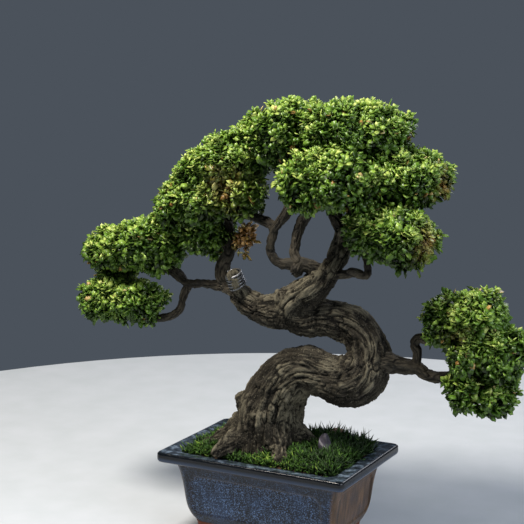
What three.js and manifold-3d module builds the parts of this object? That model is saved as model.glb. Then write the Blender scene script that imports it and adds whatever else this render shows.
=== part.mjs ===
// A trained bonsai in a glazed, footed pot: S-shaped trunk, smooth branches, leaf pads,
// soil with moss and two stones, drain screens, and a coil of training wire.
// Millimetres, +Z up, origin on the ground under the middle of the pot.
import * as THREE from "three";
import { mergeVertices } from "three/addons/utils/BufferGeometryUtils.js";
import Module from "manifold-3d";

const wasm = await Module();
wasm.setup();

// Driving sizes
const gap = 0.3; // clearance between two touching pieces
const pot = {
  length: 162, // over the rim, along X
  width: 112, // over the rim, along Y
  height: 68, // feet included
  corner: 4.5, // radius of the rim's corners in plan
  lip: 8, // thickness of the flared lip
  overhang: 10, // how far the lip stands out from the neck
  taper: 5, // how far the wall draws in from neck to belly
  belly: 7, // further draw-in of the rounded base
  wall: 6,
  floor: 7,
};
const foot = { height: 8, length: 24, thickness: 10, taper: 1 };
const panel = { depth: 1, border: 9, notch: 4 }; // sunken panel on each face
const drain = { radius: 7, spacing: 56 };
const screen = { thickness: 0.8, bar: 1.5, openings: 3 };
const clip = { radius: 0.6, reach: 6, clearance: 0.9 }; // clearance to the drain hole's wall
const soil = { drop: 3, rise: 7 }; // drop below the rim at the wall, rise of the mound above it
const moss = { thickness: 5 };
const treeHeight = 274; // soil to the top of the crown
const wire = { radius: 1, turns: 5, pitch: 2.4 };

// Derived sizes
const drawnHeight = 274; // tree height that the limb and pad points below are drawn at
const drawnRim = 68; // height of the pot that they are drawn on
const treeScale = treeHeight / drawnHeight;
const soilLevel = pot.height - soil.drop;
const innerX = pot.length / 2 - pot.overhang - pot.wall; // soil's half sizes at the neck
const innerY = pot.width / 2 - pot.overhang - pot.wall;
const floorTop = foot.height + pot.floor;

// Solids

// Closed solid through a list of rings, each with the same number of points.
// Rings turn anticlockwise about the direction in which the list runs.
function loft(rings) {
  const count = rings[0].length;
  const points = rings.flat();
  const middle = (ring) => ring.reduce((sum, p) => sum.add(p), new THREE.Vector3()).divideScalar(count);
  const first = points.push(middle(rings[0])) - 1;
  const last = points.push(middle(rings.at(-1))) - 1;
  const end = (rings.length - 1) * count;
  const faces = [];
  for (let j = 0; j < count; j += 1) {
    const next = (j + 1) % count;
    faces.push(first, next, j, last, end + j, end + next);
    for (let i = 0; i < end; i += count) {
      faces.push(i + j, i + next, i + count + next, i + j, i + count + next, i + count + j);
    }
  }
  const vertProperties = new Float32Array(points.flatMap((p) => p.toArray()));
  return new wasm.Manifold(
    new wasm.Mesh({ numProp: 3, vertProperties, triVerts: new Uint32Array(faces) }),
  );
}

function solidFromGeometry(geometry) {
  geometry.deleteAttribute("normal");
  geometry.deleteAttribute("uv");
  const merged = mergeVertices(geometry, 1e-4);
  return new wasm.Manifold(
    new wasm.Mesh({
      numProp: 3,
      vertProperties: merged.getAttribute("position").array,
      triVerts: new Uint32Array(merged.index.array),
    }),
  );
}

function box(width, depth, height, x, y, z) {
  return solidFromGeometry(new THREE.BoxGeometry(width, depth, height).translate(x, y, z));
}

const join = (solids) => solids.reduce((sum, solid) => sum.add(solid));

// The largest body of a cut solid: crumbs that a cut leaves behind are dropped.
function mainBody(solid) {
  return solid.decompose().reduce((best, body) => (body.volume() > best.volume() ? body : best));
}

// Pot

// Rounded rectangle at height z, drawn in by an inset from the rim's outline.
function outline(inset, z, steps = 5) {
  // softer towards the base, and never rounder than the outline is wide
  const corner = Math.min(pot.corner + inset * 0.25, (pot.width / 2 - inset) * 0.9);
  const straightX = pot.length / 2 - inset - corner;
  const straightY = pot.width / 2 - inset - corner;
  const points = [];
  for (let quarter = 0; quarter < 4; quarter += 1) {
    const signX = quarter === 0 || quarter === 3 ? 1 : -1;
    const signY = quarter < 2 ? 1 : -1;
    for (let i = 0; i <= steps; i += 1) {
      const angle = ((quarter + i / steps) * Math.PI) / 2;
      const x = signX * straightX + corner * Math.cos(angle);
      const y = signY * straightY + corner * Math.sin(angle);
      points.push(new THREE.Vector3(x, y, z));
    }
  }
  return points;
}

// Rings of the wall from a low height up to the neck, moved in by an offset. The inset grows
// fast under the neck, levels off with the cube of the height left, and grows again by the
// sixth power of the depth near the base.
function wallRings(offset, from = foot.height) {
  const neck = pot.height - pot.lip - 2;
  return [1, 0.95, 0.87, 0.75, 0.5, 0.3, 0.12, 0].map((down) => {
    const z = neck - (neck - from) * down;
    const depth = (neck - z) / (neck - foot.height);
    const flare = pot.taper * (1 - (1 - depth) ** 3);
    const inset = pot.overhang + flare + pot.belly * depth ** 6;
    return outline(inset + offset, z);
  });
}

function makePanelCuts() {
  const neck = pot.height - pot.lip - 2;
  const middle = (neck + foot.height) / 2;
  const high = neck - foot.height - 2 * panel.border;
  const skin = loft(wallRings(panel.depth));
  const cut = (halfLength, turn) => {
    const [a, b, n] = [halfLength - pot.overhang - pot.taper - panel.border, high / 2, panel.notch];
    const shape = new THREE.Shape();
    shape.moveTo(a, -b + n);
    shape.absarc(a, b, n, -Math.PI / 2, Math.PI, true);
    shape.absarc(-a, b, n, 0, -Math.PI / 2, true);
    shape.absarc(-a, -b, n, Math.PI / 2, 0, true);
    shape.absarc(a, -b, n, Math.PI, Math.PI / 2, true);
    const geometry = new THREE.ExtrudeGeometry(shape, {
      depth: pot.length + pot.width,
      bevelEnabled: false,
      curveSegments: 4,
    });
    geometry.translate(0, 0, -(pot.length + pot.width) / 2);
    geometry.rotateX(Math.PI / 2).rotateZ(turn).translate(0, 0, middle);
    return solidFromGeometry(geometry).subtract(skin);
  };
  return [cut(pot.length / 2, 0), cut(pot.width / 2, Math.PI / 2)];
}

function makeFeet() {
  const inset = pot.overhang + pot.taper + pot.belly;
  const top = foot.height + 1; // runs into the floor
  const outer = loft([outline(inset + 0.5, 0), outline(inset + 0.5 - foot.taper / 2, top)]);
  const inner = loft([
    outline(inset + foot.thickness, -1),
    outline(inset + foot.thickness + foot.taper, top + 1),
  ]);
  const ring = outer.subtract(inner);
  const x = pot.length / 2 - inset;
  const y = pot.width / 2 - inset;
  return [-1, 1].flatMap((sideX) =>
    [-1, 1].map((sideY) =>
      ring.intersect(
        box(2 * foot.length, 2 * foot.length * 0.75, 2 * top, sideX * x, sideY * y, top / 2),
      ),
    ),
  );
}

function drainPlaces() {
  return [-drain.spacing / 2, drain.spacing / 2];
}

function makePot() {
  const top = pot.height;
  const inside = wallRings(pot.wall, floorTop).reverse();
  const body = loft([
    ...wallRings(0),
    outline(2, top - pot.lip),
    outline(0.5, top - pot.lip + 0.5),
    outline(0, top - pot.lip + 2),
    outline(0, top - 1.5),
    outline(0.5, top - 0.5),
    outline(1.5, top),
    outline(pot.overhang + 2, top - 1.2),
    outline(pot.overhang + 4, top - 2.6),
    ...inside,
  ]);
  const holes = drainPlaces().map((x) => {
    const bore = new THREE.CylinderGeometry(drain.radius, drain.radius, 3 * pot.floor, 20);
    return solidFromGeometry(bore.rotateX(Math.PI / 2).translate(x, 0, floorTop));
  });
  const cuts = join([...makePanelCuts(), ...holes]);
  return join([body, ...makeFeet()]).subtract(cuts);
}

// Drain screens and the wire clips that hold them

const legPlace = drain.radius - clip.radius - clip.clearance; // each leg from the hole's middle
const opening = legPlace - screen.bar; // the screen's openings are spaced so that the legs pass
const screenSide = screen.openings * legPlace + 3 * screen.bar;
const screenTop = floorTop + gap + screen.thickness;
const clipTop = screenTop + gap + 2 * clip.radius;

function makeScreen(x) {
  const middle = (screen.openings - 1) / 2;
  const z = floorTop + gap + screen.thickness / 2;
  const openings = [];
  for (let i = 0; i < screen.openings ** 2; i += 1) {
    const across = ((i % screen.openings) - middle) * legPlace;
    const along = (Math.floor(i / screen.openings) - middle) * legPlace;
    openings.push(box(opening, opening, 2 * screen.thickness, x + across, along, z));
  }
  return box(screenSide, screenSide, screen.thickness, x, 0, z).subtract(join(openings));
}

// A staple: over the screen, down through two of its openings and out under the floor.
function makeClip(x) {
  const top = clipTop - clip.radius;
  const under = foot.height - gap - clip.radius;
  const side = (sign) => [
    [sign * legPlace, top - 1],
    [sign * legPlace, under + 1],
    [sign * (legPlace + 1), under],
    [sign * (legPlace + clip.reach), under],
  ];
  const route = [...side(-1).reverse(), [-legPlace + 1, top], [legPlace - 1, top], ...side(1)];
  return limb(
    route.map(([across, z]) => [x + across, 0, z, clip.radius]),
    { sides: 5, straight: true },
  );
}

// Soil, moss and stones

// A flat-topped mound over the soil line, raised by a given height and held inside the lip.
function mound(raised, base) {
  const levels = [0, 0.4, 0.7, 1];
  const inset = pot.overhang + pot.wall;
  const reach = innerY * 0.65;
  const dome = levels.map((part) => {
    const z = soilLevel + raised + soil.rise * Math.sin((part * Math.PI) / 2);
    return outline(inset + gap + reach * part * 0.9, z);
  });
  return loft([...base, ...dome]);
}

function soilBase() {
  return wallRings(pot.wall + gap, floorTop + gap);
}

function makeSoil(cuts) {
  const pockets = drainPlaces().map((x) => {
    const side = screenSide + 2 * gap;
    const high = clipTop + 2 * clip.radius - floorTop; // room for the bend of the wire
    return box(side, side, high * 2, x, 0, floorTop);
  });
  return mainBody(mound(0, soilBase()).subtract(join([...pockets, ...cuts])));
}

// Footprints of the moss, in shares of the soil's half length and half width.
const mossPatches = {
  moss_front_left: [[-0.98, -0.98], [-0.66, -0.98], [-0.62, -0.8], [-0.98, -0.76]],
  moss_front: [[-0.42, -0.98], [0.24, -0.98], [0.22, -0.56], [-0.02, -0.45], [-0.4, -0.62]],
  moss_front_right: [[0.35, -0.98], [0.98, -0.98], [0.98, -0.26], [0.55, -0.3], [0.35, -0.5]],
  moss_right: [[0.56, -0.04], [0.98, -0.12], [0.98, 0.98], [0.44, 0.98], [0.42, 0.4]],
  moss_back: [[0.3, 0.5], [0.34, 0.98], [-0.4, 0.98], [-0.42, 0.55]],
  moss_left: [[-0.56, 0.4], [-0.54, 0.98], [-0.98, 0.98], [-0.98, -0.62], [-0.86, -0.3]],
};

function makeMoss(points, cuts) {
  const line = points.map(([x, y]) => new THREE.Vector3(x * innerX, y * innerY, 0));
  const curve = new THREE.CatmullRomCurve3(line, true, "catmullrom", 0.3);
  const edge = curve.getSpacedPoints(22).slice(0, -1);
  const shape = new THREE.Shape(edge.map((p) => new THREE.Vector2(p.x, p.y)));
  const patch = solidFromGeometry(
    new THREE.ExtrudeGeometry(shape, { depth: 60, bevelEnabled: false }).translate(0, 0, soilLevel - 20),
  );
  const inset = pot.overhang + pot.wall + gap;
  const start = (height) => [outline(inset, soilLevel - 8), outline(inset, soilLevel + height - 1)];
  const layer = mound(moss.thickness, start(moss.thickness)).subtract(mound(gap, start(gap)));
  const below = loft([outline(inset - 5, 0), outline(inset - 5, soilLevel + gap)]);
  return mainBody(layer.subtract(below).intersect(patch).subtract(join(cuts)));
}

// Faceted stone: a coarse sphere whose corners are pulled in and out by a fixed rule.
function makeStone({ at, size, lean }, grow = 0) {
  const geometry = new THREE.IcosahedronGeometry(1, 1);
  const place = geometry.getAttribute("position");
  for (let i = 0; i < place.count; i += 1) {
    const p = new THREE.Vector3().fromBufferAttribute(place, i);
    p.multiplyScalar(1 + 0.16 * Math.sin(4.1 * p.x + 2.3 * p.y) * Math.cos(3.7 * p.z - 1.9 * p.x));
    place.setXYZ(i, p.x, p.y, p.z);
  }
  const [x, y, z] = at;
  geometry.scale(...size.map((half) => half + grow)).rotateY(lean);
  geometry.translate(x * innerX, y * innerY, soilLevel + z);
  return solidFromGeometry(geometry);
}

const stones = {
  stone_grey: { at: [0.67, -0.15, 13], size: [5.5, 4.5, 10], lean: 0.15 },
  stone_tan: { at: [0.58, 0.7, 12], size: [8, 6, 5], lean: -0.1 },
};

// Wood: each limb is a list of [x, y, z, radius] through its middle

function limb(points, { grow = 0, sides = 7, step = 8, straight = false } = {}) {
  const middle = points.map(([x, y, z]) => new THREE.Vector3(x, y, z));
  const path = new THREE.CatmullRomCurve3(middle, false, "centripetal");
  const girth = new THREE.CatmullRomCurve3(points.map((p) => new THREE.Vector3(p[3] + grow, 0, 0)));
  const count = straight ? 2 * points.length : Math.max(3, Math.round(path.getLength() / step));
  const frames = path.computeFrenetFrames(count, false);
  const rings = [];
  for (let i = 0; i <= count; i += 1) {
    const t = path.getUtoTmapping(i / count);
    const centre = path.getPoint(t);
    const radius = girth.getPoint(t).x;
    const ring = [];
    for (let j = 0; j < sides; j += 1) {
      const angle = (2 * Math.PI * j) / sides;
      const across = frames.normals[i].clone().multiplyScalar(radius * Math.cos(angle));
      const up = frames.binormals[i].clone().multiplyScalar(radius * Math.sin(angle));
      ring.push(centre.clone().add(across).add(up));
    }
    rings.push(ring);
  }
  return loft(rings);
}

// Tree points are drawn for a tree of drawnHeight; they keep their place on the soil when it grows.
const planted = ([x, y, z, ...radii]) => [
  x * treeScale,
  y * treeScale,
  pot.height + (z - drawnRim) * treeScale,
  ...radii.map((r) => r * treeScale),
];

const trunkLimbs = {
  trunk: [
    [-9, -6, 51, 25], [-9, -6, 69, 26], [-7, -5, 84, 25.5], [-6, -4, 98, 24.2], [-1, -4, 112, 22.3],
    [12, -6, 129, 20.2], [29, -8, 138, 18.4], [43, -8, 135, 16.3], [58, -6, 130, 19.2], [70, -1, 136, 20],
    [74, 5, 153, 15.6], [64, 7, 170, 14], [42, 4, 177, 13], [25, 0, 176, 12.8], [8, -3, 179, 13],
    [-14, -2, 179, 10], [-28, 0, 185, 8.8], [-37, 2, 189.5, 7.2], [-46, 3, 193.5, 5],
  ],
  upperLimb: [
    [9, -5, 177, 11.7], [18, -6, 190, 11.6], [33, -8, 200, 10.3], [42, -6, 209, 9], [48, -4, 220, 7.2],
    [52, -1, 230, 6.2], [55, 3, 247, 5],
  ],
  stub: [[-28, -2, 188, 6], [-31.5, -9, 198, 5.1], [-34, -14, 210, 4.6]],
};

// Roots end at a share of the soil's half length and half width, so they follow the pot.
const roots = [
  { from: [-20, -8, 84, 17], mid: [-36, -12, 76, 10], to: [-0.86, -0.62, 68, 4] },
  { from: [-18, 4, 80, 16], mid: [-38, 6, 73, 9], to: [-0.85, 0.35, 66, 4] },
  { from: [-16, -16, 80, 15], mid: [-24, -28, 77, 8], to: [-0.49, -1.24, 71.8, 3] }, // over the lip
  { from: [2, -14, 80, 15], mid: [12, -22, 73, 8], to: [0.3, -0.85, 66, 4] },
  { from: [6, -2, 80, 16], mid: [20, 6, 72, 9], to: [0.46, 0.42, 66, 4.5] },
  { from: [-6, 12, 80, 16], mid: [2, 24, 72, 9], to: [0.1, 0.9, 65, 4.5] },
];

function rootPoints({ from, mid, to }) {
  const [shareX, shareY, z, radius] = to;
  const end = [shareX * innerX, shareY * innerY, z - drawnRim + pot.height, radius];
  return [planted(from), planted(mid), end];
}

function makeTrunk(grow = 0) {
  const limbs = [
    limb(trunkLimbs.trunk.map(planted), { grow, sides: 13, step: 11 }),
    limb(trunkLimbs.upperLimb.map(planted), { grow, sides: 10, step: 9 }),
    limb(trunkLimbs.stub.map(planted), { grow, sides: 8, step: 6 }),
    ...roots.map((root) => limb(rootPoints(root), { grow, sides: 8, step: 9 })),
  ];
  return join(limbs);
}

const branches = {
  branch_left: [
    [
      [-38, 2, 191, 5], [-51, 4, 194, 4.3], [-61, 5, 194, 3.6], [-75, 7, 194, 3.4], [-90, 9, 193, 3.7],
      [-97, 10, 198, 4.2], [-106, 10, 203, 4.6], [-121, 10, 207, 3.8], [-134, 9, 211, 2.6],
    ],
    [
      [-88, 9, 193, 3.4], [-93, 8, 181, 2.9], [-95, 7, 172, 2.8], [-101, 6, 166, 2.7], [-113, 5, 162, 2.6],
      [-128, 4, 162, 2.6], [-141, 3, 165, 2.1],
    ],
  ],
  branch_left_riser: [
    [
      [-47, 4, 193, 6], [-53, 4, 203, 5.8], [-52, 4, 212, 5], [-47.5, 5, 221, 4.3], [-46.5, 7, 234, 3.5],
      [-49, 8, 243, 3.2], [-55, 9, 254, 2.8], [-66, 10, 267, 2.3],
    ],
    [[-48, 5, 224, 3.1], [-58, 8, 232, 2.9], [-71, 9, 234, 2.5], [-84, 9, 237, 2]],
  ],
  branch_middle: [
    [
      [43, -5, 212, 6], [32, -7, 217, 5.2], [22, -8, 220, 4.6], [6, -10, 219, 3.9], [0, -11, 224, 3.9],
      [-2, -11, 231, 3.6], [0, -9, 246, 3.6], [-7, -8, 250, 3.5], [-18, -6, 253, 3.4], [-31, -3, 256, 3.2],
      [-41, 0, 260, 2.7], [-51, 3, 267, 2.2],
    ],
    [
      [-1, -10, 243, 3.4], [6, -10, 252, 3.7], [12, -11, 260, 3.8], [15, -11, 268, 3.8], [13, -9, 275, 3.5],
      [10, -6, 283, 3], [6, -3, 294, 2.4], [3, 0, 304, 2],
    ],
    [[22, -8, 219, 3.8], [22, -12, 216, 5], [22, -15, 214, 4.4]],
  ],
  branch_middle_riser: [
    [
      [21, -8, 220, 4.4], [17, -7, 227, 4], [17, -6, 234, 3.8], [21, -4, 250, 4.3], [25, -3, 258, 4.5],
      [28, -2, 265, 3.8], [31, 0, 274, 3], [35, 2, 285, 2.3],
    ],
  ],
  branch_upper_right: [
    [
      [56, 2, 240, 4.8], [51, 3, 249, 4.5], [46, 4, 257, 4.2], [42, 5, 264, 3.8], [41, 6, 273, 3.4],
      [44, 7, 285, 3], [50, 8, 299, 2.4], [59, 8, 312, 1.9],
    ],
  ],
  branch_right: [
    [
      [55, 2, 241, 4.6], [60, 3, 249, 4.3], [66, 5, 255, 3.6], [79, 9, 264, 2.8], [88, 11, 271, 2.4],
      [98, 12, 280, 1.9],
    ],
    [[68, 5, 256, 3], [79, 0, 253, 2.6], [91, -8, 248, 2.2], [102, -14, 245, 1.7]],
  ],
  branch_hook: [
    [
      [48, -7, 213, 3.6], [61, -10, 215, 2.4], [68, -11, 217, 2.1], [75, -12, 216, 2.2], [80, -13, 216, 2.2],
      [81, -13, 221, 2.1], [80, -13, 226, 2], [77, -13, 232, 1.8], [75, -13, 238, 1.6], [80, -13, 245, 1.3],
    ],
  ],
  branch_far_right: [
    [
      [78, 2, 147, 10.5], [90, 5, 147, 8.3], [96, 7, 146, 6.4], [102, 9, 145, 5.2], [113, 11, 144, 4.9],
      [118, 12, 140, 4.3], [125, 14, 138, 3.8], [135, 16, 139, 3.6], [145, 18, 142, 3], [156, 19, 147, 2.4],
      [165, 20, 153, 1.9],
    ],
    [
      [111, 11, 143, 3.7], [112, 11, 152, 3], [112, 11, 157, 2.7], [110, 10, 162, 2.7], [113, 10, 167, 2.6],
      [123, 10, 166, 2.6], [129, 11, 167, 2.4], [137, 12, 172, 2.1], [145, 13, 179, 1.6],
    ],
    [[133, 16, 139, 2.4], [136, 16, 131, 1.5], [139, 17, 123, 1.3], [145, 18, 119, 1.1], [154, 18, 122, 0.9]],
  ],
};

function makeWood(limbs, grow = 0) {
  return join(limbs.map((points) => limb(points.map(planted), { grow })));
}

// Each branch is cut back to clear the trunk and the branches made before it.
function makeBranches() {
  const made = new Map();
  const taken = [makeTrunk(gap)];
  for (const [name, limbs] of Object.entries(branches)) {
    made.set(name, mainBody(makeWood(limbs).subtract(join(taken))));
    taken.push(makeWood(limbs, gap));
  }
  return made;
}

// Coil of training wire round the cut stub.
function makeWire() {
  const [foot, middle, top] = trunkLimbs.stub.map(planted);
  const places = [foot, middle, top].map(([x, y, z]) => new THREE.Vector3(x, y, z));
  const axis = new THREE.CatmullRomCurve3(places);
  const girth = new THREE.CatmullRomCurve3([foot, middle, top].map((p) => new THREE.Vector3(p[3], 0, 0)));
  const length = axis.getLength();
  const stepsPerTurn = 9;
  const count = Math.round(wire.turns * stepsPerTurn);
  const start = length - wire.turns * wire.pitch - wire.radius;
  const frames = axis.computeFrenetFrames(count, false);
  const points = [];
  for (let i = 0; i <= count; i += 1) {
    const along = (start + (wire.turns * wire.pitch * i) / count) / length;
    const angle = (2 * Math.PI * i) / stepsPerTurn;
    const radius = (girth.getPointAt(along).x + gap + wire.radius) * 1.04;
    const frame = Math.round(along * count);
    const out = frames.normals[frame].clone().multiplyScalar(Math.cos(angle) * radius);
    out.addScaledVector(frames.binormals[frame], Math.sin(angle) * radius);
    points.push([...axis.getPointAt(along).add(out).toArray(), wire.radius]);
  }
  return limb(points, { sides: 5, step: 4 });
}

// Leaf pads: lobes of [x, y, z, half length, half width, half height]
const pads = {
  pad_crown_left: [[9, -4, 320, 23, 28, 21], [-19, 6, 307, 19, 24, 18], [6, 32, 312, 17, 23, 18]],
  pad_crown_right: [[58, -6, 322, 24, 30, 19], [84, 4, 319, 18, 25, 17], [50, 33, 314, 22, 24, 18]],
  pad_upper_left: [[-39, 0, 294, 24, 30, 19], [-68, 4, 281, 17, 26, 17], [-58, 26, 287, 19, 22, 16]],
  pad_middle_left: [[-87, 4, 257, 21, 26, 20], [-55, -6, 263, 20, 22, 16], [-86, 24, 258, 20, 20, 17]],
  pad_middle_inner: [[-27, -6, 269, 13, 20, 15]],
  pad_left_inner: [[-70, 10, 236, 18, 24, 15]],
  pad_left: [[-159, 8, 214, 23, 24, 17], [-119, 2, 224, 24, 28, 20], [-148, 22, 215, 23, 22, 17]],
  pad_lower_left: [[-167, 8, 173, 23, 24, 17], [-133, 0, 175, 18, 22, 16]],
  pad_middle: [[41, -31, 285, 16, 24, 20], [69, -32, 287, 16, 25, 19], [47, -12, 283, 18, 20, 17]],
  pad_upper_right: [[89, 2, 286, 18, 27, 17], [114, 8, 286, 18, 27, 17], [92, 28, 284, 20, 21, 15]],
  pad_right: [[86, -16, 250, 18, 24, 18], [113, -18, 245, 17, 27, 21], [94, 6, 244, 18, 22, 17]],
  pad_far_right_upper: [[141, 10, 182, 18, 26, 17], [160, 14, 185, 14, 22, 16]],
  pad_far_right_middle: [[155, 2, 161, 12, 18, 13]],
  pad_far_right_outer: [[173, 18, 160, 16, 25, 18]],
  pad_far_right_lower: [[154, 12, 132, 16, 24, 14], [167, 18, 127, 14, 22, 15]],
  tuft_dry: [[-27, -2, 236, 6, 7, 10]],
};

function makeLobe(lobe, grow) {
  const [x, y, z, a, b, c] = planted(lobe);
  const geometry = new THREE.SphereGeometry(1, 12, 6).rotateX(Math.PI / 2);
  geometry.scale(a + grow, b + grow, c + grow).translate(x, y, z);
  return solidFromGeometry(geometry);
}

const makePad = (lobes, grow = 0) => join(lobes.map((lobe) => makeLobe(lobe, grow)));

// Each pad is cut round the wood and the pads made before it.
function makePads(woodCut) {
  const made = new Map();
  const taken = [woodCut];
  for (const [name, lobes] of Object.entries(pads)) {
    made.set(name, mainBody(makePad(lobes).subtract(join(taken))));
    taken.push(makePad(lobes, gap));
  }
  return made;
}

// Scene

const colours = {
  glaze: { color: 0x1a2230, roughness: 0.18, metalness: 0 },
  bark: { color: 0x5b4c3a, roughness: 0.9, metalness: 0 },
  youngBark: { color: 0x3d342a, roughness: 0.8, metalness: 0 },
  leaf: { color: 0x4f8a1f, roughness: 0.5, metalness: 0 },
  dryLeaf: { color: 0x9a5a24, roughness: 0.7, metalness: 0 },
  soil: { color: 0x3a2c1f, roughness: 1, metalness: 0 },
  moss: { color: 0x35521d, roughness: 1, metalness: 0 },
  greyStone: { color: 0x6d6876, roughness: 0.8, metalness: 0 },
  tanStone: { color: 0xb08f7e, roughness: 0.8, metalness: 0 },
  screen: { color: 0x22252a, roughness: 0.6, metalness: 0 },
  wire: { color: 0xb9bcc0, roughness: 0.35, metalness: 1 },
};

const bonsai = new THREE.Group();

function add(name, solid, colour) {
  const { vertProperties, triVerts } = solid.getMesh();
  const geometry = new THREE.BufferGeometry();
  geometry.setAttribute("position", new THREE.BufferAttribute(vertProperties, 3));
  geometry.setIndex(new THREE.BufferAttribute(triVerts, 1));
  const mesh = new THREE.Mesh(geometry, new THREE.MeshStandardMaterial(colours[colour]));
  mesh.name = name;
  bonsai.add(mesh);
}

add("pot", makePot(), "glaze");
for (const [side, x] of [["left", -drain.spacing / 2], ["right", drain.spacing / 2]]) {
  add(`drain_screen_${side}`, makeScreen(x), "screen");
  add(`screen_clip_${side}`, makeClip(x), "wire");
}

const trunkCut = makeTrunk(gap);
add("trunk", makeTrunk(), "bark");
const groundCuts = [trunkCut, ...Object.values(stones).map((stone) => makeStone(stone, 2 * gap))];
add("soil", makeSoil(groundCuts), "soil");
add("stone_grey", makeStone(stones.stone_grey), "greyStone");
add("stone_tan", makeStone(stones.stone_tan), "tanStone");
for (const [name, points] of Object.entries(mossPatches)) {
  add(name, makeMoss(points, groundCuts), "moss");
}

const madeBranches = makeBranches();
madeBranches.forEach((solid, name) => add(name, solid, "youngBark"));
add("training_wire", makeWire(), "wire");

const woodCut = join([trunkCut, ...Object.values(branches).map((limbs) => makeWood(limbs, gap))]);
makePads(woodCut).forEach((solid, name) => add(name, solid, name === "tuft_dry" ? "dryLeaf" : "leaf"));

export default bonsai;
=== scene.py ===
import math

import bpy
import numpy as np
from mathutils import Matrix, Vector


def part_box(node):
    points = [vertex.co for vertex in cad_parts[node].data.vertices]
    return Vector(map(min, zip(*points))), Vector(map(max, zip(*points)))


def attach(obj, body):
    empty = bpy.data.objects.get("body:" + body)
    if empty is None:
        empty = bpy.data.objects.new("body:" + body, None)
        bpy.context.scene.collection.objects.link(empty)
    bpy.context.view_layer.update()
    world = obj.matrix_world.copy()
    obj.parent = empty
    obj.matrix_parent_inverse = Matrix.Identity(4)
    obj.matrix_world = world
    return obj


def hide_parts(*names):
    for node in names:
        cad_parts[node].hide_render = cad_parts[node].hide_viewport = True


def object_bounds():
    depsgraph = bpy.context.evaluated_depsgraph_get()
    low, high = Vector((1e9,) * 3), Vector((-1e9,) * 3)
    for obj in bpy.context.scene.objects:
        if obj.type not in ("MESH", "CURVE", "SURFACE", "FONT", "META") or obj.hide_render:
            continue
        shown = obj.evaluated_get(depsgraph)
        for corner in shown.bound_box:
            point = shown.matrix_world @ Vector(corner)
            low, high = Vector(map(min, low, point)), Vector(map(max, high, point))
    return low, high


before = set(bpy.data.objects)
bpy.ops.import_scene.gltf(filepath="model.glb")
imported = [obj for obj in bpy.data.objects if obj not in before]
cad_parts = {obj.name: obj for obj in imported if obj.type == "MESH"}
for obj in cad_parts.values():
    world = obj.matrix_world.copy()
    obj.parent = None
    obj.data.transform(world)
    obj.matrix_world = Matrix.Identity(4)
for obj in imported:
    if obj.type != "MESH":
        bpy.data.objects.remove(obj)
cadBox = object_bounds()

mm = 0.001
scene = bpy.context.scene
scene.view_settings.view_transform = "Standard"


# Helpers

def toLinear(hexColour):
    # sRGB hex to the linear colour that a socket takes
    value = [int(hexColour[i:i + 2], 16) / 255 for i in (1, 3, 5)]
    return [c / 12.92 if c <= 0.04045 else ((c + 0.055) / 1.055) ** 2.4 for c in value] + [1]


def addNode(tree, kind, inputs=None, stops=None, **settings):
    # One node with its settings, linked up; gives its first output. An input is a value or another
    # node's output, and stops are a ramp's colours.
    node = tree.nodes.new("ShaderNode" + kind)
    for key, value in settings.items():
        setattr(node, key, value)
    for key, value in (inputs or {}).items():
        if isinstance(value, bpy.types.NodeSocket):
            tree.links.new(value, node.inputs[key])
        else:
            node.inputs[key].default_value = toLinear(value) if isinstance(value, str) else value
    for i, (place, colour) in enumerate(stops or []):
        stop = node.color_ramp.elements[i] if i < 2 else node.color_ramp.elements.new(place)
        stop.position = place
        stop.color = toLinear(colour) if isinstance(colour, str) else [colour] * 3 + [1]
    return node.outputs[0]


def noise(tree, place, scale, detail, **more):
    inputs = {"Vector": place, "Scale": scale, "Detail": detail}
    return addNode(tree, "TexNoise", inputs | more)


def ramp(tree, value, *stops):
    return addNode(tree, "ValToRGB", {"Fac": value}, stops)


def remap(tree, value, fromMin, fromMax, toMin=0.0, toMax=1.0):
    inputs = {"Value": value, "From Min": fromMin, "From Max": fromMax}
    return addNode(tree, "MapRange", inputs | {"To Min": toMin, "To Max": toMax})


def blend(tree, share, first, second, way="MIX"):
    # Colour that goes from the first to the second with the share
    inputs = {0: share, 6: first, 7: second}
    return addNode(tree, "Mix", inputs, data_type="RGBA", blend_type=way).node.outputs[2]


def readAttribute(tree, name, output="Fac"):
    return addNode(tree, "Attribute", attribute_name=name).node.outputs[output]


def bump(tree, shader, height, distance, strength, **settings):
    inputs = {"Height": height, "Distance": distance, "Strength": strength}
    tree.links.new(addNode(tree, "Bump", inputs, **settings), shader.inputs["Normal"])


def paint(tree, shader, colour):
    tree.links.new(colour, shader.inputs["Base Color"])


def startMaterial(name, **sockets):
    # A Principled material: gives the material, its tree, its shader and the Object coordinates
    material = bpy.data.materials.new(name)
    material.use_nodes = True
    tree = material.node_tree
    tree.nodes.clear()
    values = {key.replace("_", " "): value for key, value in sockets.items()}
    shader = addNode(tree, "BsdfPrincipled", values).node
    output = tree.nodes.new("ShaderNodeOutputMaterial")
    tree.links.new(shader.outputs[0], output.inputs["Surface"])
    place = addNode(tree, "TexCoord").node.outputs["Object"]
    return material, tree, shader, place


axisPrimes = np.array([73856093, 19349663, 83492791])


def softNoise(points, seed):
    # Smooth noise from -1 to 1: a hashed value at each whole-number lattice point, eased between
    # the eight round a point
    whole = np.floor(points).astype(np.int64)
    part = points - whole
    part = part * part * (3 - 2 * part)
    total = np.zeros(len(points))
    for corner in range(8):
        step = np.array([corner & 1, corner >> 1 & 1, corner >> 2 & 1])
        key = (whole + step) @ axisPrimes + seed * 7919
        key = (key ^ (key >> 13)) & 0x7FFFFFFF
        key = (key * 1274126177 + 40503) & 0x7FFFFFFF
        key = (key ^ (key >> 15)) & 0xFFFF
        total += np.prod(np.where(step, part, 1 - part), axis=1) * key
    return total / 32767.5 - 1


def ease(low, high, value):
    # 0 below low, 1 above high, an S-curve between
    t = np.clip((value - low) / (high - low), 0, 1)
    return t * t * (3 - 2 * t)


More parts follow.
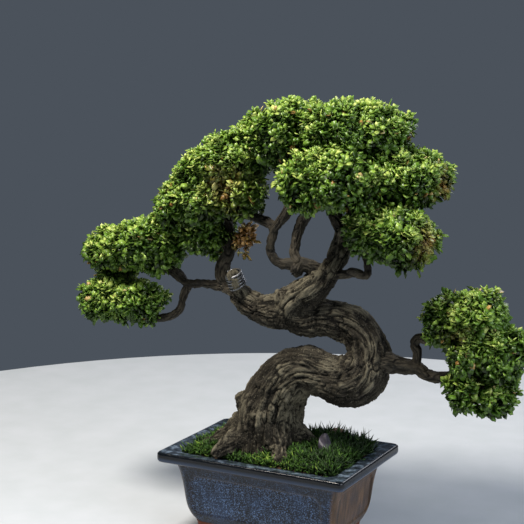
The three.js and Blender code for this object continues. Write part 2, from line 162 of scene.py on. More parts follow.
def unit(vectors):
    return vectors / np.maximum(np.linalg.norm(vectors, axis=-1, keepdims=True), 1e-9)


def makePiece(name, points, faces, materials, attributes=None, faceMaterial=None, smooth=True):
    # Points in millimetres and a list of face arrays, put into a mesh whole
    mesh = bpy.data.meshes.new(name)
    corners = np.concatenate([f.ravel() for f in faces]).astype(np.int32)
    sizes = np.concatenate([np.full(len(f), f.shape[1]) for f in faces])
    starts = np.concatenate([[0], np.cumsum(sizes)[:-1]]).astype(np.int32)
    mesh.vertices.add(len(points))
    mesh.vertices.foreach_set("co", (np.asarray(points) * mm).astype(np.float32).ravel())
    mesh.loops.add(len(corners))
    mesh.loops.foreach_set("vertex_index", corners)
    mesh.polygons.add(len(starts))
    mesh.polygons.foreach_set("loop_start", starts)
    mesh.update(calc_edges=True)
    for key, values in (attributes or {}).items():
        values = np.asarray(values, np.float32)
        layer = mesh.attributes.new(key, "FLOAT" if values.ndim == 1 else "FLOAT_VECTOR", "POINT")
        layer.data.foreach_set("value" if values.ndim == 1 else "vector", values.ravel())
    for material in materials:
        mesh.materials.append(material)
    if faceMaterial is not None:
        mesh.polygons.foreach_set("material_index", np.asarray(faceMaterial, np.int32))
    mesh.polygons.foreach_set("use_smooth", np.full(len(starts), smooth))
    piece = bpy.data.objects.new(name, mesh)
    scene.collection.objects.link(piece)
    return piece


def finishPiece(piece, slot, *replaced):
    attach(piece, "root")
    if replaced:
        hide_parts(*replaced)


def closedGrid(rings):
    # Quads between rings of points, and a fan to a middle point at each end.
    # Rings turn anticlockwise about the way they run, so that faces point outwards.
    n, m = rings.shape[:2]
    index = np.arange(n * m).reshape(n, m)
    right = np.roll(index, -1, axis=1)
    quads = np.stack([index[:-1], right[:-1], right[1:], index[1:]], -1).reshape(-1, 4)
    first = np.stack([np.full(m, n * m), right[0], index[0]], -1)
    last = np.stack([np.full(m, n * m + 1), index[-1], right[-1]], -1)
    points = np.vstack([rings.reshape(-1, 3), rings[0].mean(0), rings[-1].mean(0)])
    return points, [quads, first, last]


def joinParts(parts):
    # Several (points, faces) as one
    offset, points, faces = 0, [], []
    for partPoints, partFaces in parts:
        points.append(partPoints)
        faces += [f + offset for f in partFaces]
        offset += len(partPoints)
    return np.vstack(points), faces


def smoothPath(points, spacing):
    # Centripetal Catmull-Rom curve through [x, y, z, radius], walked at even distances.
    # The last column is the distance.
    p = np.array(points, float)
    p = np.vstack([2 * p[0] - p[1], p, 2 * p[-1] - p[-2]])
    gaps = np.sqrt(np.linalg.norm(np.diff(p[:, :3], axis=0), axis=1))[:, None]
    a, b, c, d = p[:-3], p[1:-2], p[2:-1], p[3:]
    before, here, after = gaps[:-2], gaps[1:-1], gaps[2:]
    leave = ((b - a) / before - (c - a) / (before + here) + (c - b) / here) * here
    reach = ((c - b) / here - (d - b) / (here + after) + (d - c) / after) * here
    b, c, leave, reach = (v[:, None, :] for v in (b, c, leave, reach))
    t = np.linspace(0, 1, 24, endpoint=False)[None, :, None]
    bow = 3 * c - 3 * b - 2 * leave - reach
    cubic = b + leave * t + bow * t**2 + (2 * b - 2 * c + leave + reach) * t**3
    line = np.vstack([cubic.reshape(-1, 4), p[-2]])
    far = np.concatenate([[0], np.cumsum(np.linalg.norm(np.diff(line[:, :3], axis=0), axis=1))])
    at = np.linspace(0, far[-1], max(4, round(far[-1] / spacing)) + 1)
    return np.column_stack([np.interp(at, far, line[:, k]) for k in range(4)] + [at])


def pathFrames(line):
    # Direction, side and up at each point, turned as little as possible from one to the next
    ahead = unit(np.gradient(line[:, :3], axis=0))
    side = np.empty_like(ahead)
    side[0] = unit(np.cross(ahead[0], [0.3, 0.9, 0.3]))
    for i in range(1, len(line)):
        side[i] = unit(side[i - 1] - ahead[i] * np.dot(side[i - 1], ahead[i]))
    return ahead, side, np.cross(ahead, side)


def carryRing(line, around):
    # A circle of the line's radius carried along it, closed at both ends
    ahead, side, up = pathFrames(line)
    angle = np.arange(around) / around * 2 * np.pi
    radius = line[:, None, 3:4]
    turn = np.cos(angle)[None, :, None] * side[:, None] + np.sin(angle)[None, :, None] * up[:, None]
    return closedGrid(line[:, None, :3] + radius * turn)


# Camera, floor and lights

studio = {
    "cameraPlace": (0.4593, -0.8883, 0.3805),
    "cameraTurn": (80.78, 0, 28.11),  # degrees
    "lens": 89.3,
    "floorRadius": 0.62,
    "wallColour": "#4b525b",
}
print("studio")
cameraData = bpy.data.cameras.new("camera")
cameraData.lens = studio["lens"]
camera = bpy.data.objects.new("camera", cameraData)
camera.location = studio["cameraPlace"]
camera.rotation_euler = [math.radians(a) for a in studio["cameraTurn"]]
scene.collection.objects.link(camera)
scene.camera = camera

world = bpy.data.worlds.new("soft_room")
world.use_nodes = True
world.node_tree.nodes["Background"].inputs["Color"].default_value = toLinear(studio["wallColour"])
world.node_tree.nodes["Background"].inputs["Strength"].default_value = 1.0
scene.world = world


def addSoftbox(name, place, aim, size, power, colour):
    data = bpy.data.lights.new(name, "AREA")
    data.shape = "DISK"
    data.size = size
    data.energy = power
    data.color = toLinear(colour)[:3]
    lamp = bpy.data.objects.new(name, data)
    lamp.location = place
    away = np.array(place) - np.array(aim)
    tilt = math.acos(away[2] / np.linalg.norm(away))
    lamp.rotation_euler = (tilt, 0, math.atan2(away[1], away[0]) + math.pi / 2)
    scene.collection.objects.link(lamp)


addSoftbox("key", (-0.28, -0.5, 1.25), (0, 0, 0.18), 0.45, 26, "#fff6ec")
addSoftbox("fill", (1.1, -0.3, 0.7), (0, 0, 0.15), 0.9, 9, "#eef3ff")
addSoftbox("rim", (0.25, 1.0, 0.9), (0, 0, 0.2), 0.7, 5, "#f4f6ff")

around = np.arange(96) / 96 * 2 * np.pi
circle = np.column_stack([np.cos(around), np.sin(around), np.zeros(96)])
floorReach = studio["floorRadius"] / mm
floorProfile = ((floorReach, -8), (floorReach, -0.5), (floorReach - 1, 0))
floorRings = np.stack([circle * radius + [0, 0, z] for radius, z in floorProfile])
floorMaterial, tree, shader, place = startMaterial("matt_painted_board", Roughness=0.6,
                                                   Specular_IOR_Level=0.3)
grain = noise(tree, place, 30.0, 3.0)
tint = ramp(tree, grain, (0.3, "#bdc4c8"), (0.7, "#c4cacf"))
paint(tree, shader, tint)
floorPoints, floorFaces = closedGrid(floorRings)
floor = makePiece("floor", floorPoints, floorFaces, [floorMaterial], smooth=False)


# Wood: the trunk and its branches, each limb a list of [x, y, z, radius] through its middle,
# in millimetres

trunkShape = {
    "trunk": [
        [-9, -6, 51, 25], [-9, -6, 69, 26], [-7, -5, 84, 25.5], [-6, -4, 98, 24.2], [-1, -4, 112, 22.3],
        [12, -6, 129, 20.2], [29, -8, 138, 18.4], [43, -8, 135, 16.3], [58, -6, 130, 19.2],
        [70, -1, 136, 20], [74, 5, 153, 15.6], [64, 7, 170, 14], [42, 4, 177, 13], [25, 0, 176, 12.8],
        [8, -3, 179, 13], [-14, -2, 179, 10], [-28, 0, 185, 8.8], [-37, 2, 189.5, 7.2],
        [-46, 3, 193.5, 5],
    ],
    "upperLimb": [
        [9, -5, 177, 11.7], [18, -6, 190, 11.6], [33, -8, 200, 10.3], [42, -6, 209, 9],
        [48, -4, 220, 7.2], [52, -1, 230, 6.2], [55, 3, 247, 5],
    ],
    "stub": [[-28, -2, 188, 5.2], [-31.5, -9, 198, 4], [-34, -14, 210, 3.5]],
    "rootLeftFront": [[-20, -8, 84, 17], [-36, -12, 76, 10], [-55.9, -24.8, 68, 4]],
    "rootLeftBack": [[-18, 4, 80, 16], [-38, 6, 73, 9], [-55.3, 14, 66, 4]],
    "rootOverRim": [[-16, -16, 80, 15], [-24, -28, 77, 8], [-31.9, -49.6, 71.8, 3]],
    "rootFront": [[2, -14, 80, 15], [12, -22, 73, 8], [19.5, -34, 66, 4]],
    "rootRight": [[6, -2, 80, 16], [20, 6, 72, 9], [29.9, 16.8, 66, 4.5]],
    "rootBack": [[-6, 12, 80, 16], [2, 24, 72, 9], [6.5, 36, 65, 4.5]],
    # swellings: a lump on the left of the foot, and the healed knob over the fork
    "burlLow": [[-26, -8, 104, 8], [-30, -8, 104, 6.5], [-33, -8, 103.5, 3.5]],
    "knob": [[10, -8, 190, 7], [11, -12, 196, 5.5], [11, -13, 198.5, 3.5]],
}

branchShapes = {
    "branch_left": [
        [
            [-38, 2, 191, 5], [-51, 4, 194, 4.3], [-61, 5, 194, 3.6], [-75, 7, 194, 3.4],
            [-90, 9, 193, 3.7], [-97, 10, 198, 4.2], [-106, 10, 203, 4.6], [-121, 10, 207, 3.8],
            [-134, 9, 211, 2.6],
        ],
        [
            [-88, 9, 193, 3.4], [-93, 8, 181, 2.9], [-95, 7, 172, 2.8], [-101, 6, 166, 2.7],
            [-113, 5, 162, 2.6], [-128, 4, 162, 2.6], [-141, 3, 165, 2.1],
        ],
    ],
    "branch_left_riser": [
        [
            [-47, 4, 193, 6], [-53, 4, 203, 5.8], [-52, 4, 212, 5], [-47.5, 5, 221, 4.3],
            [-46.5, 7, 234, 3.5], [-49, 8, 243, 3.2], [-55, 9, 254, 2.8], [-66, 10, 267, 2.3],
        ],
        [[-48, 5, 224, 3.1], [-58, 8, 232, 2.9], [-71, 9, 234, 2.5], [-84, 9, 237, 2]],
    ],
    "branch_middle": [
        [
            [43, -5, 212, 6], [32, -7, 217, 5.2], [22, -8, 220, 4.6], [6, -10, 219, 3.9],
            [0, -11, 224, 3.9], [-2, -11, 231, 3.6], [0, -9, 246, 3.6], [-7, -8, 250, 3.5],
            [-18, -6, 253, 3.4], [-31, -3, 256, 3.2], [-41, 0, 260, 2.7], [-51, 3, 267, 2.2],
        ],
        [
            [-1, -10, 243, 3.4], [6, -10, 252, 3.7], [12, -11, 260, 3.8], [15, -11, 268, 3.8],
            [13, -9, 275, 3.5], [10, -6, 283, 3], [6, -3, 294, 2.4], [3, 0, 304, 2],
        ],
        [[22, -8, 219, 3.8], [22, -12, 216, 5], [22, -15, 214, 4.4]],
    ],
    "branch_middle_riser": [
        [
            [21, -8, 220, 4.4], [17, -7, 227, 4], [17, -6, 234, 3.8], [21, -4, 250, 4.3],
            [25, -3, 258, 4.5], [28, -2, 265, 3.8], [31, 0, 274, 3], [35, 2, 285, 2.3],
        ],
    ],
    "branch_upper_right": [
        [
            [56, 2, 240, 4.8], [51, 3, 249, 4.5], [46, 4, 257, 4.2], [42, 5, 264, 3.8],
            [41, 6, 273, 3.4], [44, 7, 285, 3], [50, 8, 299, 2.4], [59, 8, 312, 1.9],
        ],
    ],
    "branch_right": [
        [
            [55, 2, 241, 4.6], [60, 3, 249, 4.3], [66, 5, 255, 3.6], [79, 9, 264, 2.8],
            [88, 11, 271, 2.4], [98, 12, 280, 1.9],
        ],
        [[68, 5, 256, 3], [79, 0, 253, 2.6], [91, -8, 248, 2.2], [102, -14, 245, 1.7]],
    ],
    "branch_hook": [
        [
            [48, -7, 213, 3.6], [61, -10, 215, 2.4], [68, -11, 217, 2.1], [75, -12, 216, 2.2],
            [80, -13, 216, 2.2], [81, -13, 221, 2.1], [80, -13, 226, 2], [77, -13, 232, 1.8],
            [75, -13, 238, 1.6], [80, -13, 245, 1.3],
        ],
    ],
    "branch_far_right": [
        [
            [78, 2, 147, 10.5], [90, 5, 147, 8.3], [96, 7, 146, 6.4], [102, 9, 145, 5.2],
            [113, 11, 144, 4.9], [118, 12, 140, 4.3], [125, 14, 138, 3.8], [135, 16, 139, 3.6],
            [145, 18, 142, 3], [156, 19, 147, 2.4], [165, 20, 153, 1.9],
        ],
        [
            [111, 11, 143, 3.7], [112, 11, 152, 3], [112, 11, 157, 2.7], [110, 10, 162, 2.7],
            [113, 10, 167, 2.6], [123, 10, 166, 2.6], [129, 11, 167, 2.4], [137, 12, 172, 2.1],
            [145, 13, 179, 1.6],
        ],
        [
            [133, 16, 139, 2.4], [136, 16, 131, 1.5], [139, 17, 123, 1.3], [145, 18, 119, 1.1],
            [154, 18, 122, 0.9],
        ],
    ],
}

bark = {
    "oldVoxel": 0.88,  # mm, the size of a face on the trunk
    "youngVoxel": 0.55,
    "lump": 1.9,  # mm, how far the broad swellings stand out
    "rib": 1.6,  # long muscles that follow the limb
    "furrow": 1.9,  # depth of the cracks
    "strand": 0.9,  # fine strips between the cracks
    "crumb": 0.42,
    "rise": 0.45,  # of the furrow, so that the cracks do not thin the limb
    "twist": 0.006,  # radians that the bark winds round for each mm of limb
}


def fuseSkin(parts, voxel, rounds):
    # One closed skin round overlapping limbs, evened out so that a fork has no crease.
    # Gives its points in millimetres and its faces.
    points, faces = joinParts(parts)
    rough = makePiece("rough", points, faces, [])
    fuse = rough.modifiers.new("fuse", "REMESH")
    fuse.mode = "VOXEL"
    fuse.voxel_size = voxel * mm
    shown = rough.evaluated_get(bpy.context.evaluated_depsgraph_get()).to_mesh()
    skin = np.empty(len(shown.vertices) * 3, np.float32)
    shown.vertices.foreach_get("co", skin)
    skin = skin.reshape(-1, 3).astype(float) / mm
    corners = np.empty(len(shown.loops), np.int32)
    shown.loops.foreach_get("vertex_index", corners)
    edges = np.empty(len(shown.edges) * 2, np.int32)
    shown.edges.foreach_get("vertices", edges)
    edges = edges.reshape(-1, 2)
    bpy.data.objects.remove(rough)
    here, there = np.concatenate([edges, edges[:, ::-1]]).T
    count = np.bincount(here, minlength=len(skin))[:, None]
    for _ in range(rounds):
        around = [np.bincount(here, skin[there, k], len(skin)) for k in range(3)]
        skin = skin * 0.4 + np.stack(around, -1) / count * 0.6
    return skin, corners.reshape(-1, 4)


def outwardNormals(points, quads):
    # Each point's normal: the sum of its faces' normals
    across = points[quads[:, 2]] - points[quads[:, 0]]
    face = np.cross(across, points[quads[:, 3]] - points[quads[:, 1]])
    total = [np.bincount(quads.ravel(), np.repeat(face[:, k], 4), len(points)) for k in range(3)]
    return unit(np.stack(total, -1))


def alongLimbs(points, lines):
    # For each limb: how far each point is outside it, and its place on a sheet unrolled from the limb,
    # as [round x, round y, along], so that a pattern can follow the limb round and along
    found = []
    for line in lines:
        ahead, side, up = pathFrames(line)
        nearest = np.concatenate([
            (np.square(block[:, None] - line[None, :, :3]).sum(-1)).argmin(1)
            for block in np.array_split(points, max(1, len(points) // 3000))
        ])
        away = points - line[nearest, :3]
        flat = np.sum(away * side[nearest], 1)
        high = np.sum(away * up[nearest], 1)
        along = line[nearest, 4] + np.sum(away * ahead[nearest], 1)
        angle = np.arctan2(high, flat) + along * bark["twist"]
        radius = line[nearest, 3]
        sheet = np.column_stack([radius * np.cos(angle), radius * np.sin(angle), along])
        found.append((np.linalg.norm(away, axis=1) - radius, sheet))
    return found


def barkRelief(sheet, seed, fine):
    # Height of the bark on one limb and how deep its cracks are. Cracks follow the lines where a long,
    # narrow noise crosses zero; ribs, strands and crumbs are noises of smaller and smaller grain.
    shift = seed * 37.1
    wander = [softNoise(sheet / [9, 9, 16] + shift + k, 5) for k in range(3)]
    sheet = sheet + np.column_stack(wander) * [1.8, 1.8, 4.0]
    crack = softNoise(sheet / [3.7, 3.7, 22] + shift, 1)
    small = softNoise(sheet / [2.0, 2.0, 11] + shift, 2)
    rib = softNoise(sheet / [8, 8, 50] + shift, 3)
    strand = 1 - 2 * np.abs(softNoise(sheet / [1.7, 1.7, 17] + shift, 4))
    cracks = np.maximum(1 - ease(0, 0.13, np.abs(crack)), 0.75 * (1 - ease(0, 0.24, np.abs(small))))
    height = bark["rib"] * rib - bark["furrow"] * cracks + bark["strand"] * strand
    return height * fine, cracks


def coverWithBark(skin, quads, lines, fine, lumpSize, seed):
    # Moves each point of the skin along its normal by the relief of the limbs near it, blended at forks
    found = alongLimbs(skin, lines)
    least = np.min([f[0] for f in found], axis=0)
    total, height, cracks = np.zeros(len(skin)), np.zeros(len(skin)), np.zeros(len(skin))
    for i, (outside, sheet) in enumerate(found):
        weight = np.exp(-(outside - least) / 1.6)
        weight[weight < 0.03] = 0
        near = weight > 0
        limbHeight, limbCracks = barkRelief(sheet[near], seed + i, fine)
        height[near] += weight[near] * limbHeight
        cracks[near] += weight[near] * limbCracks
        total += weight
    height, cracks = height / total, cracks / total
    lump = softNoise(skin / 17 + seed, 6) + 0.5 * softNoise(skin / 7 + seed, 7)
    crumb = softNoise(skin / 1.9, 8) + 1.6 * softNoise(skin / 3.6, 9)
    height = height + bark["lump"] * lumpSize * lump + bark["crumb"] * crumb * fine
    height = height + bark["rise"] * bark["furrow"] * fine
    normal = outwardNormals(skin, quads)
    moved = skin + normal * height[:, None]
    flow = np.choose(np.argmin([f[0] for f in found], axis=0)[:, None], [f[1] for f in found])
    # ridge is 0 in the hollows and 1 on the ridge tops; with cracks it places the bark's painted shade
    # and painted highlight
    ridge = ease(-2.2, 3.0, height / max(fine, 0.3))
    return moved, quads, {"cracks": np.clip(cracks, 0, 1), "ridge": ridge, "flow": flow * mm}


# Old bark of a juniper kind: dry, matt strips of grey and tan, with painted shade low in the hollows,
# near black painted shade in the cracks and a pale painted highlight on the ridge tops
oldBark, tree, shader, place = startMaterial("old_cracked_bark", Roughness=0.88,
                                             Specular_IOR_Level=0.25)
cracks = readAttribute(tree, "cracks")
ridge = readAttribute(tree, "ridge")
patches = noise(tree, place, 60.0, 4.0)  # 17 mm
flow = readAttribute(tree, "flow", "Vector")
drawn = addNode(tree, "Mapping", {0: flow, "Scale": (1.0, 1.0, 0.11)})  # 9 times as long as wide
fibre = noise(tree, drawn, 560.0, 5.0, Roughness=0.75, Distortion=0.5)  # 1.8 mm across
body = ramp(tree, patches, (0.32, "#332f24"), (0.5, "#494439"), (0.68, "#625d4e"))
# painted shade: the low parts of the bark, where the ridge mask is small, go dark
furrowShade = blend(tree, ridge, "#242017", body)
# painted highlight: the ridge tops go pale
ridgeHighlightShare = remap(tree, ridge, 0.6, 1.0, toMax=0.55)
pale = blend(tree, ridgeHighlightShare, furrowShade, "#8a846e")
# painted shade: the cracks go near black
deep = remap(tree, cracks, 0.15, 0.8)
dark = blend(tree, deep, pale, "#191710")
speck = ramp(tree, fibre, (0.38, 0.08), (0.49, 0.6), (0.6, 1.0))
grained = blend(tree, 0.85, dark, speck, "MULTIPLY")
flakes = noise(tree, place, 850.0, 2.0)
glint = remap(tree, flakes, 0.6, 0.72, toMax=0.4)
flaky = blend(tree, glint, grained, "#8d8874")
paint(tree, shader, flaky)
bump(tree, shader, fibre, 0.0016, 1.0)

# Young bark: thinner and smoother, dark olive brown with paler rubbed places, and painted shade in its
# hollows and, darker, in its cracks
youngBark, tree, shader, place = startMaterial("young_bark", Roughness=0.75, Specular_IOR_Level=0.3)
cracks = readAttribute(tree, "cracks")
ridge = readAttribute(tree, "ridge")
patches = noise(tree, place, 90.0, 4.0)  # 11 mm
flow = readAttribute(tree, "flow", "Vector")
drawn = addNode(tree, "Mapping", {0: flow, "Scale": (1.0, 1.0, 0.22)})
fibre = noise(tree, drawn, 1100.0, 4.0, Roughness=0.65)
body = ramp(tree, patches, (0.35, "#322f25"), (0.5, "#443f33"), (0.65, "#5f5849"))
# painted shade: the low parts go dark where the ridge mask is small, and the cracks darker still
pale = blend(tree, ridge, "#282419", body)
dark = blend(tree, cracks, pale, "#1b1811")
speck = ramp(tree, fibre, (0.38, 0.25), (0.6, 1.0))
grained = blend(tree, 0.75, dark, speck, "MULTIPLY")
paint(tree, shader, grained)
bump(tree, shader, fibre, 0.0007, 0.8)

print("trunk")
trunkLines = [smoothPath(points, 1.0) for points in trunkShape.values()]
skin, quads = fuseSkin([carryRing(line[::2], 40) for line in trunkLines], bark["oldVoxel"], 5)
moved, quads, pattern = coverWithBark(skin, quads, trunkLines, 1.0, 1.0, 3)
trunk = makePiece("trunk_bark", moved, [quads], [oldBark], pattern)
finishPiece(trunk, "old_bark", "trunk")
print(len(quads) * 2, "triangles")

branchLines = {}
for number, (name, limbs) in enumerate(branchShapes.items()):
    lines = [smoothPath(points, 0.8) for points in limbs]
    branchLines[name] = lines
    skin, quads = fuseSkin([carryRing(line, 24) for line in lines], bark["youngVoxel"], 3)
    moved, quads, pattern = coverWithBark(skin, quads, lines, 0.55, 0.4, 20 + number)
    piece = makePiece(name + "_bark", moved, [quads], [youngBark], pattern)
    finishPiece(piece, "young_bark", name)
    print(name, len(quads) * 2, "triangles")


# Pot: glazed stoneware, thrown in one with its bare clay feet. All sizes in millimetres.

potShape = {
    "halfLength": 81, "halfWidth": 56, "height": 68,
    "corner": 4.5,  # in plan, at the rim
    "lip": 8, "overhang": 10, "taper": 5, "belly": 7,
    "wall": 6, "floorTop": 15, "footHeight": 8,
    "panelHalf": (57, 32), "panelHalfHeight": 16, "panelNotch": 4, "panelDepth": 1.0,
    "drainRadius": 7, "drainSpacing": 56,
    "glazeLine": 8.8,  # bare clay below it
}
neck = potShape["height"] - potShape["lip"] - 2


def wallInset(z):
    # Draws in fast under the neck, levels off with the cube of the height left, and rounds
    # the base with the sixth power of the depth
    depth = (neck - z) / (neck - potShape["footHeight"])
    flare = potShape["taper"] * (1 - (1 - depth) ** 3)
    return potShape["overhang"] + flare + potShape["belly"] * np.abs(depth) ** 6


def outlineRings(inset, z, arc=20, longSide=120, shortSide=80):
    # Rounded rectangles, one for each inset and height: four arcs with straight runs between them
    inset, z = np.asarray(inset, float)[:, None], np.asarray(z, float)[:, None]
    corner = np.minimum(potShape["corner"] + 0.25 * inset, 0.9 * (potShape["halfWidth"] - inset))
    arcs = []
    for quarter, (signX, signY) in enumerate([(1, 1), (-1, 1), (-1, -1), (1, -1)]):
        angle = (quarter + np.linspace(0, 1, arc)[None]) * math.pi / 2
        x = signX * (potShape["halfLength"] - inset - corner) + corner * np.cos(angle)
        y = signY * (potShape["halfWidth"] - inset - corner) + corner * np.sin(angle)
        arcs.append(np.stack([x, y], -1))
    pieces = []
    for quarter in range(4):
        count = longSide if quarter % 2 == 0 else shortSide
        share = (np.arange(count) + 1)[None, :, None] / (count + 1)
        start, end = arcs[quarter][:, -1:], arcs[(quarter + 1) % 4][:, :1]
        pieces += [arcs[quarter], start + (end - start) * share]
    flat = np.concatenate(pieces, axis=1)
    return np.concatenate([flat, np.broadcast_to(z[:, :, None], flat.shape[:2] + (1,))], -1)


def evenProfile(corners, spacing):
    # A smooth line through (inset, z) pairs, at even steps
    line = smoothPath([[inset, 0, z, 0] for inset, z in corners], spacing)
    return line[:, 0], line[:, 2]


def panelShare(x, z, half):
    # 1 inside a long panel whose corners are scooped out, 0 outside, soft over its edge
    middle = (neck + potShape["footHeight"]) / 2
    sideways = np.abs(x) - half
    upward = np.abs(z - middle) - potShape["panelHalfHeight"]
    notch = potShape["panelNotch"] - np.hypot(sideways, upward)
    outside = np.maximum(np.maximum(sideways, upward), notch)
    return 1 - ease(-0.8, 0.7, outside), outside


print("pot")
wallZ = np.linspace(potShape["footHeight"], neck, 72)
lipCorners = [
    (10, 58), (7.3, 58.9), (2.3, 59.8), (0.7, 60.6), (0.05, 62), (0, 65.2), (0.15, 66.9), (0.8, 67.7),
    (2.2, 68), (5.5, 67.7), (11.5, 66.9), (13.6, 66.2), (14.8, 64.6), (15.7, 61.5), (16, 58),
]
lipInset, lipZ = evenProfile(lipCorners, 0.75)
innerZ = np.linspace(neck - 1, potShape["floorTop"], 22)
innerInset = potShape["wall"] + wallInset(innerZ)
baseCount = 12
baseInset = np.linspace(potShape["halfWidth"] - 1, wallInset(potShape["footHeight"]) + 1, baseCount)
insets = np.concatenate([baseInset, wallInset(wallZ), lipInset[1:], innerInset, baseInset[::-1] + 2])
heights = np.concatenate([np.full(baseCount, potShape["footHeight"]), wallZ, lipZ[1:], innerZ,
                          np.full(baseCount, potShape["floorTop"])])
insets = np.minimum(insets, potShape["halfWidth"] - 0.5)
rings = outlineRings(insets, heights)

# the panels are pressed into each face
isWall = np.zeros(len(heights), bool)
isWall[baseCount:baseCount + len(wallZ)] = True
longer = potShape["halfLength"] - potShape["halfWidth"]
isEnd = np.abs(rings[..., 0]) > np.abs(rings[..., 1]) + longer
normal = unit(np.stack([np.sign(rings[..., 0]) * isEnd, np.sign(rings[..., 1]) * ~isEnd,
                        np.zeros(rings.shape[:2])], -1))
longShare, longEdge = panelShare(rings[..., 0], rings[..., 2], potShape["panelHalf"][0])
shortShare, shortEdge = panelShare(rings[..., 1], rings[..., 2], potShape["panelHalf"][1])
facesY = np.abs(normal[..., 1]) > 0.5
sunk = np.where(facesY, longShare, shortShare) * isWall[:, None]
edge = np.where(facesY, longEdge, shortEdge)
rings = rings - normal * (sunk * potShape["panelDepth"])[..., None]

# a hand-made wall is never quite true: slow waves of a fraction of a millimetre
flat = rings.reshape(-1, 3)
wave = 0.28 * softNoise(flat / 26, 31) + 0.1 * softNoise(flat / 7, 32)
above = ease(8.5, 14, flat[:, 2])[:, None]
outward = unit(flat * [1, 1, 0])
rings = (flat + outward * wave[:, None] * above * 0.8).reshape(rings.shape)
potPoints, potFaces = closedGrid(rings)
sideFace = ease(-3, 3, np.abs(rings[..., 0]) - np.abs(rings[..., 1]) - longer)
rimTop = (ease(0.8, 2.6, insets) * (heights > 62) * (insets < 16.2))[:, None] * np.ones(rings.shape[1])
bare = makePiece("pot_body", potPoints, potFaces, [], {
    "panel": np.concatenate([sunk.ravel(), [0, 0]]),
    "bronze": np.concatenate([(sideFace * (1 - rimTop)).ravel(), [0, 0]]),
    "rimTop": np.concatenate([rimTop.ravel(), [0, 0]]),
    "rubbed": np.concatenate([(np.exp(-np.square(edge / 1.3)) * isWall[:, None]).ravel(), [0, 0]]),
})

# two drain holes are cut through the floor
for sign in (-1, 1):
    hole = np.array([[sign * potShape["drainSpacing"] / 2, 0, z, potShape["drainRadius"]]
                     for z in (2.0, 12, 30)])
    holePoints, holeFaces = carryRing(hole, 48)
    cutter = makePiece("cutter", holePoints, holeFaces, [])
    cut = bare.modifiers.new("drain", "BOOLEAN")
    cut.operation = "DIFFERENCE"
    cut.object = cutter
    cutMesh = bpy.data.meshes.new_from_object(bare.evaluated_get(bpy.context.evaluated_depsgraph_get()))
    bare.modifiers.clear()
    bare.data = cutMesh
    bpy.data.objects.remove(cutter)
print(len(bare.data.polygons), "faces")


def footOutline(grow, z):
    # An L in plan for the corner at +x +y, its own corners rounded
    outerX, outerY, innerX, innerY = 58.5 + grow, 33.5 + grow, 49 - grow, 24 - grow
    endX, endY = 35 - grow, 16 - grow
    corners = [(endX, outerY, 2.5), (endX, innerY, 2), (innerX, innerY, 2.5), (innerX, endY, 2),
               (outerX, endY, 2.5), (outerX, outerY, 8.5)]
    places = []
    for i, (x, y, radius) in enumerate(corners):
        before = unit(np.subtract(corners[i - 1][:2], (x, y)).astype(float))
        after = unit(np.subtract(corners[(i + 1) % 6][:2], (x, y)).astype(float))
        share = np.linspace(0, 1, 7)[:, None]
        start, end = before * radius, after * radius
        places.append(np.array([x, y]) + start * (1 - share) ** 2 + end * share**2)
    flat = np.vstack(places)
    return np.column_stack([flat, np.full(len(flat), z)])


# how far the outline grows at each height
footProfile = [(-2.2, 0), (-1.2, 0.15), (-0.5, 0.7), (-0.1, 1.6), (0.1, 4), (0.4, 7), (1, 8.4), (1, 9)]
footRings = np.stack([footOutline(grow, z) for grow, z in footProfile])
footParts = []
for signX, signY in ((1, 1), (-1, 1), (-1, -1), (1, -1)):
    turned = footRings * [signX, signY, 1]
    footParts.append(closedGrid(turned if signX * signY > 0 else turned[:, ::-1]))
footPoints, footFaces = joinParts(footParts)
feet = makePiece("pot_feet", footPoints, footFaces, [])

# Stoneware with a dark blue glaze that breaks to brown on its edges and is thick with pale blue
# flecks in the panels
glaze, tree, shader, place = startMaterial("dark_blue_stoneware_glaze", Specular_IOR_Level=0.3,
                                           Coat_Weight=0.08, Coat_Roughness=0.08)
panel = readAttribute(tree, "panel")
rubbed = readAttribute(tree, "rubbed")
height = addNode(tree, "SeparateXYZ", {0: place}).node.outputs["Z"]
clouds = noise(tree, place, 45.0, 4.0)  # 22 mm pools
runs = addNode(tree, "Mapping", {0: place, "Scale": (1.0, 1.0, 0.16)})
runny = noise(tree, runs, 260.0, 3.0)
flecks = noise(tree, place, 1000.0, 2.0, Roughness=0.65)  # 1 mm
fine = noise(tree, place, 1500.0, 2.0)
base = ramp(tree, clouds, (0.35, "#070a10"), (0.52, "#0e1623"), (0.68, "#1a2a42"))
fleckShare = remap(tree, flecks, 0.48, 0.62)
fleckColour = ramp(tree, fine, (0.35, "#35507a"), (0.65, "#7a99c6"))
panelMore = remap(tree, panel, 0.0, 1.0, 0.42, 0.95)
streaks = remap(tree, runny, 0.3, 0.6, 0.35, 1.0)
streaky = addNode(tree, "Math", {0: panelMore, 1: streaks}, operation="MULTIPLY")
fleckAmount = addNode(tree, "Math", {0: fleckShare, 1: streaky}, operation="MULTIPLY")
blue = blend(tree, fleckAmount, base, fleckColour)
rustColour = ramp(tree, runny, (0.35, "#231a13"), (0.6, "#4b3a2a"))
neckBand = remap(tree, height, 0.0545, 0.059, toMax=0.75)
rubbedSome = addNode(tree, "Math", {0: rubbed, 1: 0.22}, operation="MULTIPLY")
rustShare = addNode(tree, "Math", {0: rubbedSome, 1: neckBand}, operation="MAXIMUM")
rusty = blend(tree, rustShare, blue, rustColour)
# the short faces ran to bronze brown, with darker runs down them
bronze = readAttribute(tree, "bronze")
bronzeColour = ramp(tree, runny, (0.3, "#322415"), (0.5, "#573e24"), (0.7, "#7a5b3a"))
mottled = remap(tree, clouds, 0.3, 0.6, 0.98, 0.8)
bronzeShare = addNode(tree, "Math", {0: bronze, 1: mottled}, operation="MULTIPLY")
faced = blend(tree, bronzeShare, rusty, bronzeColour)
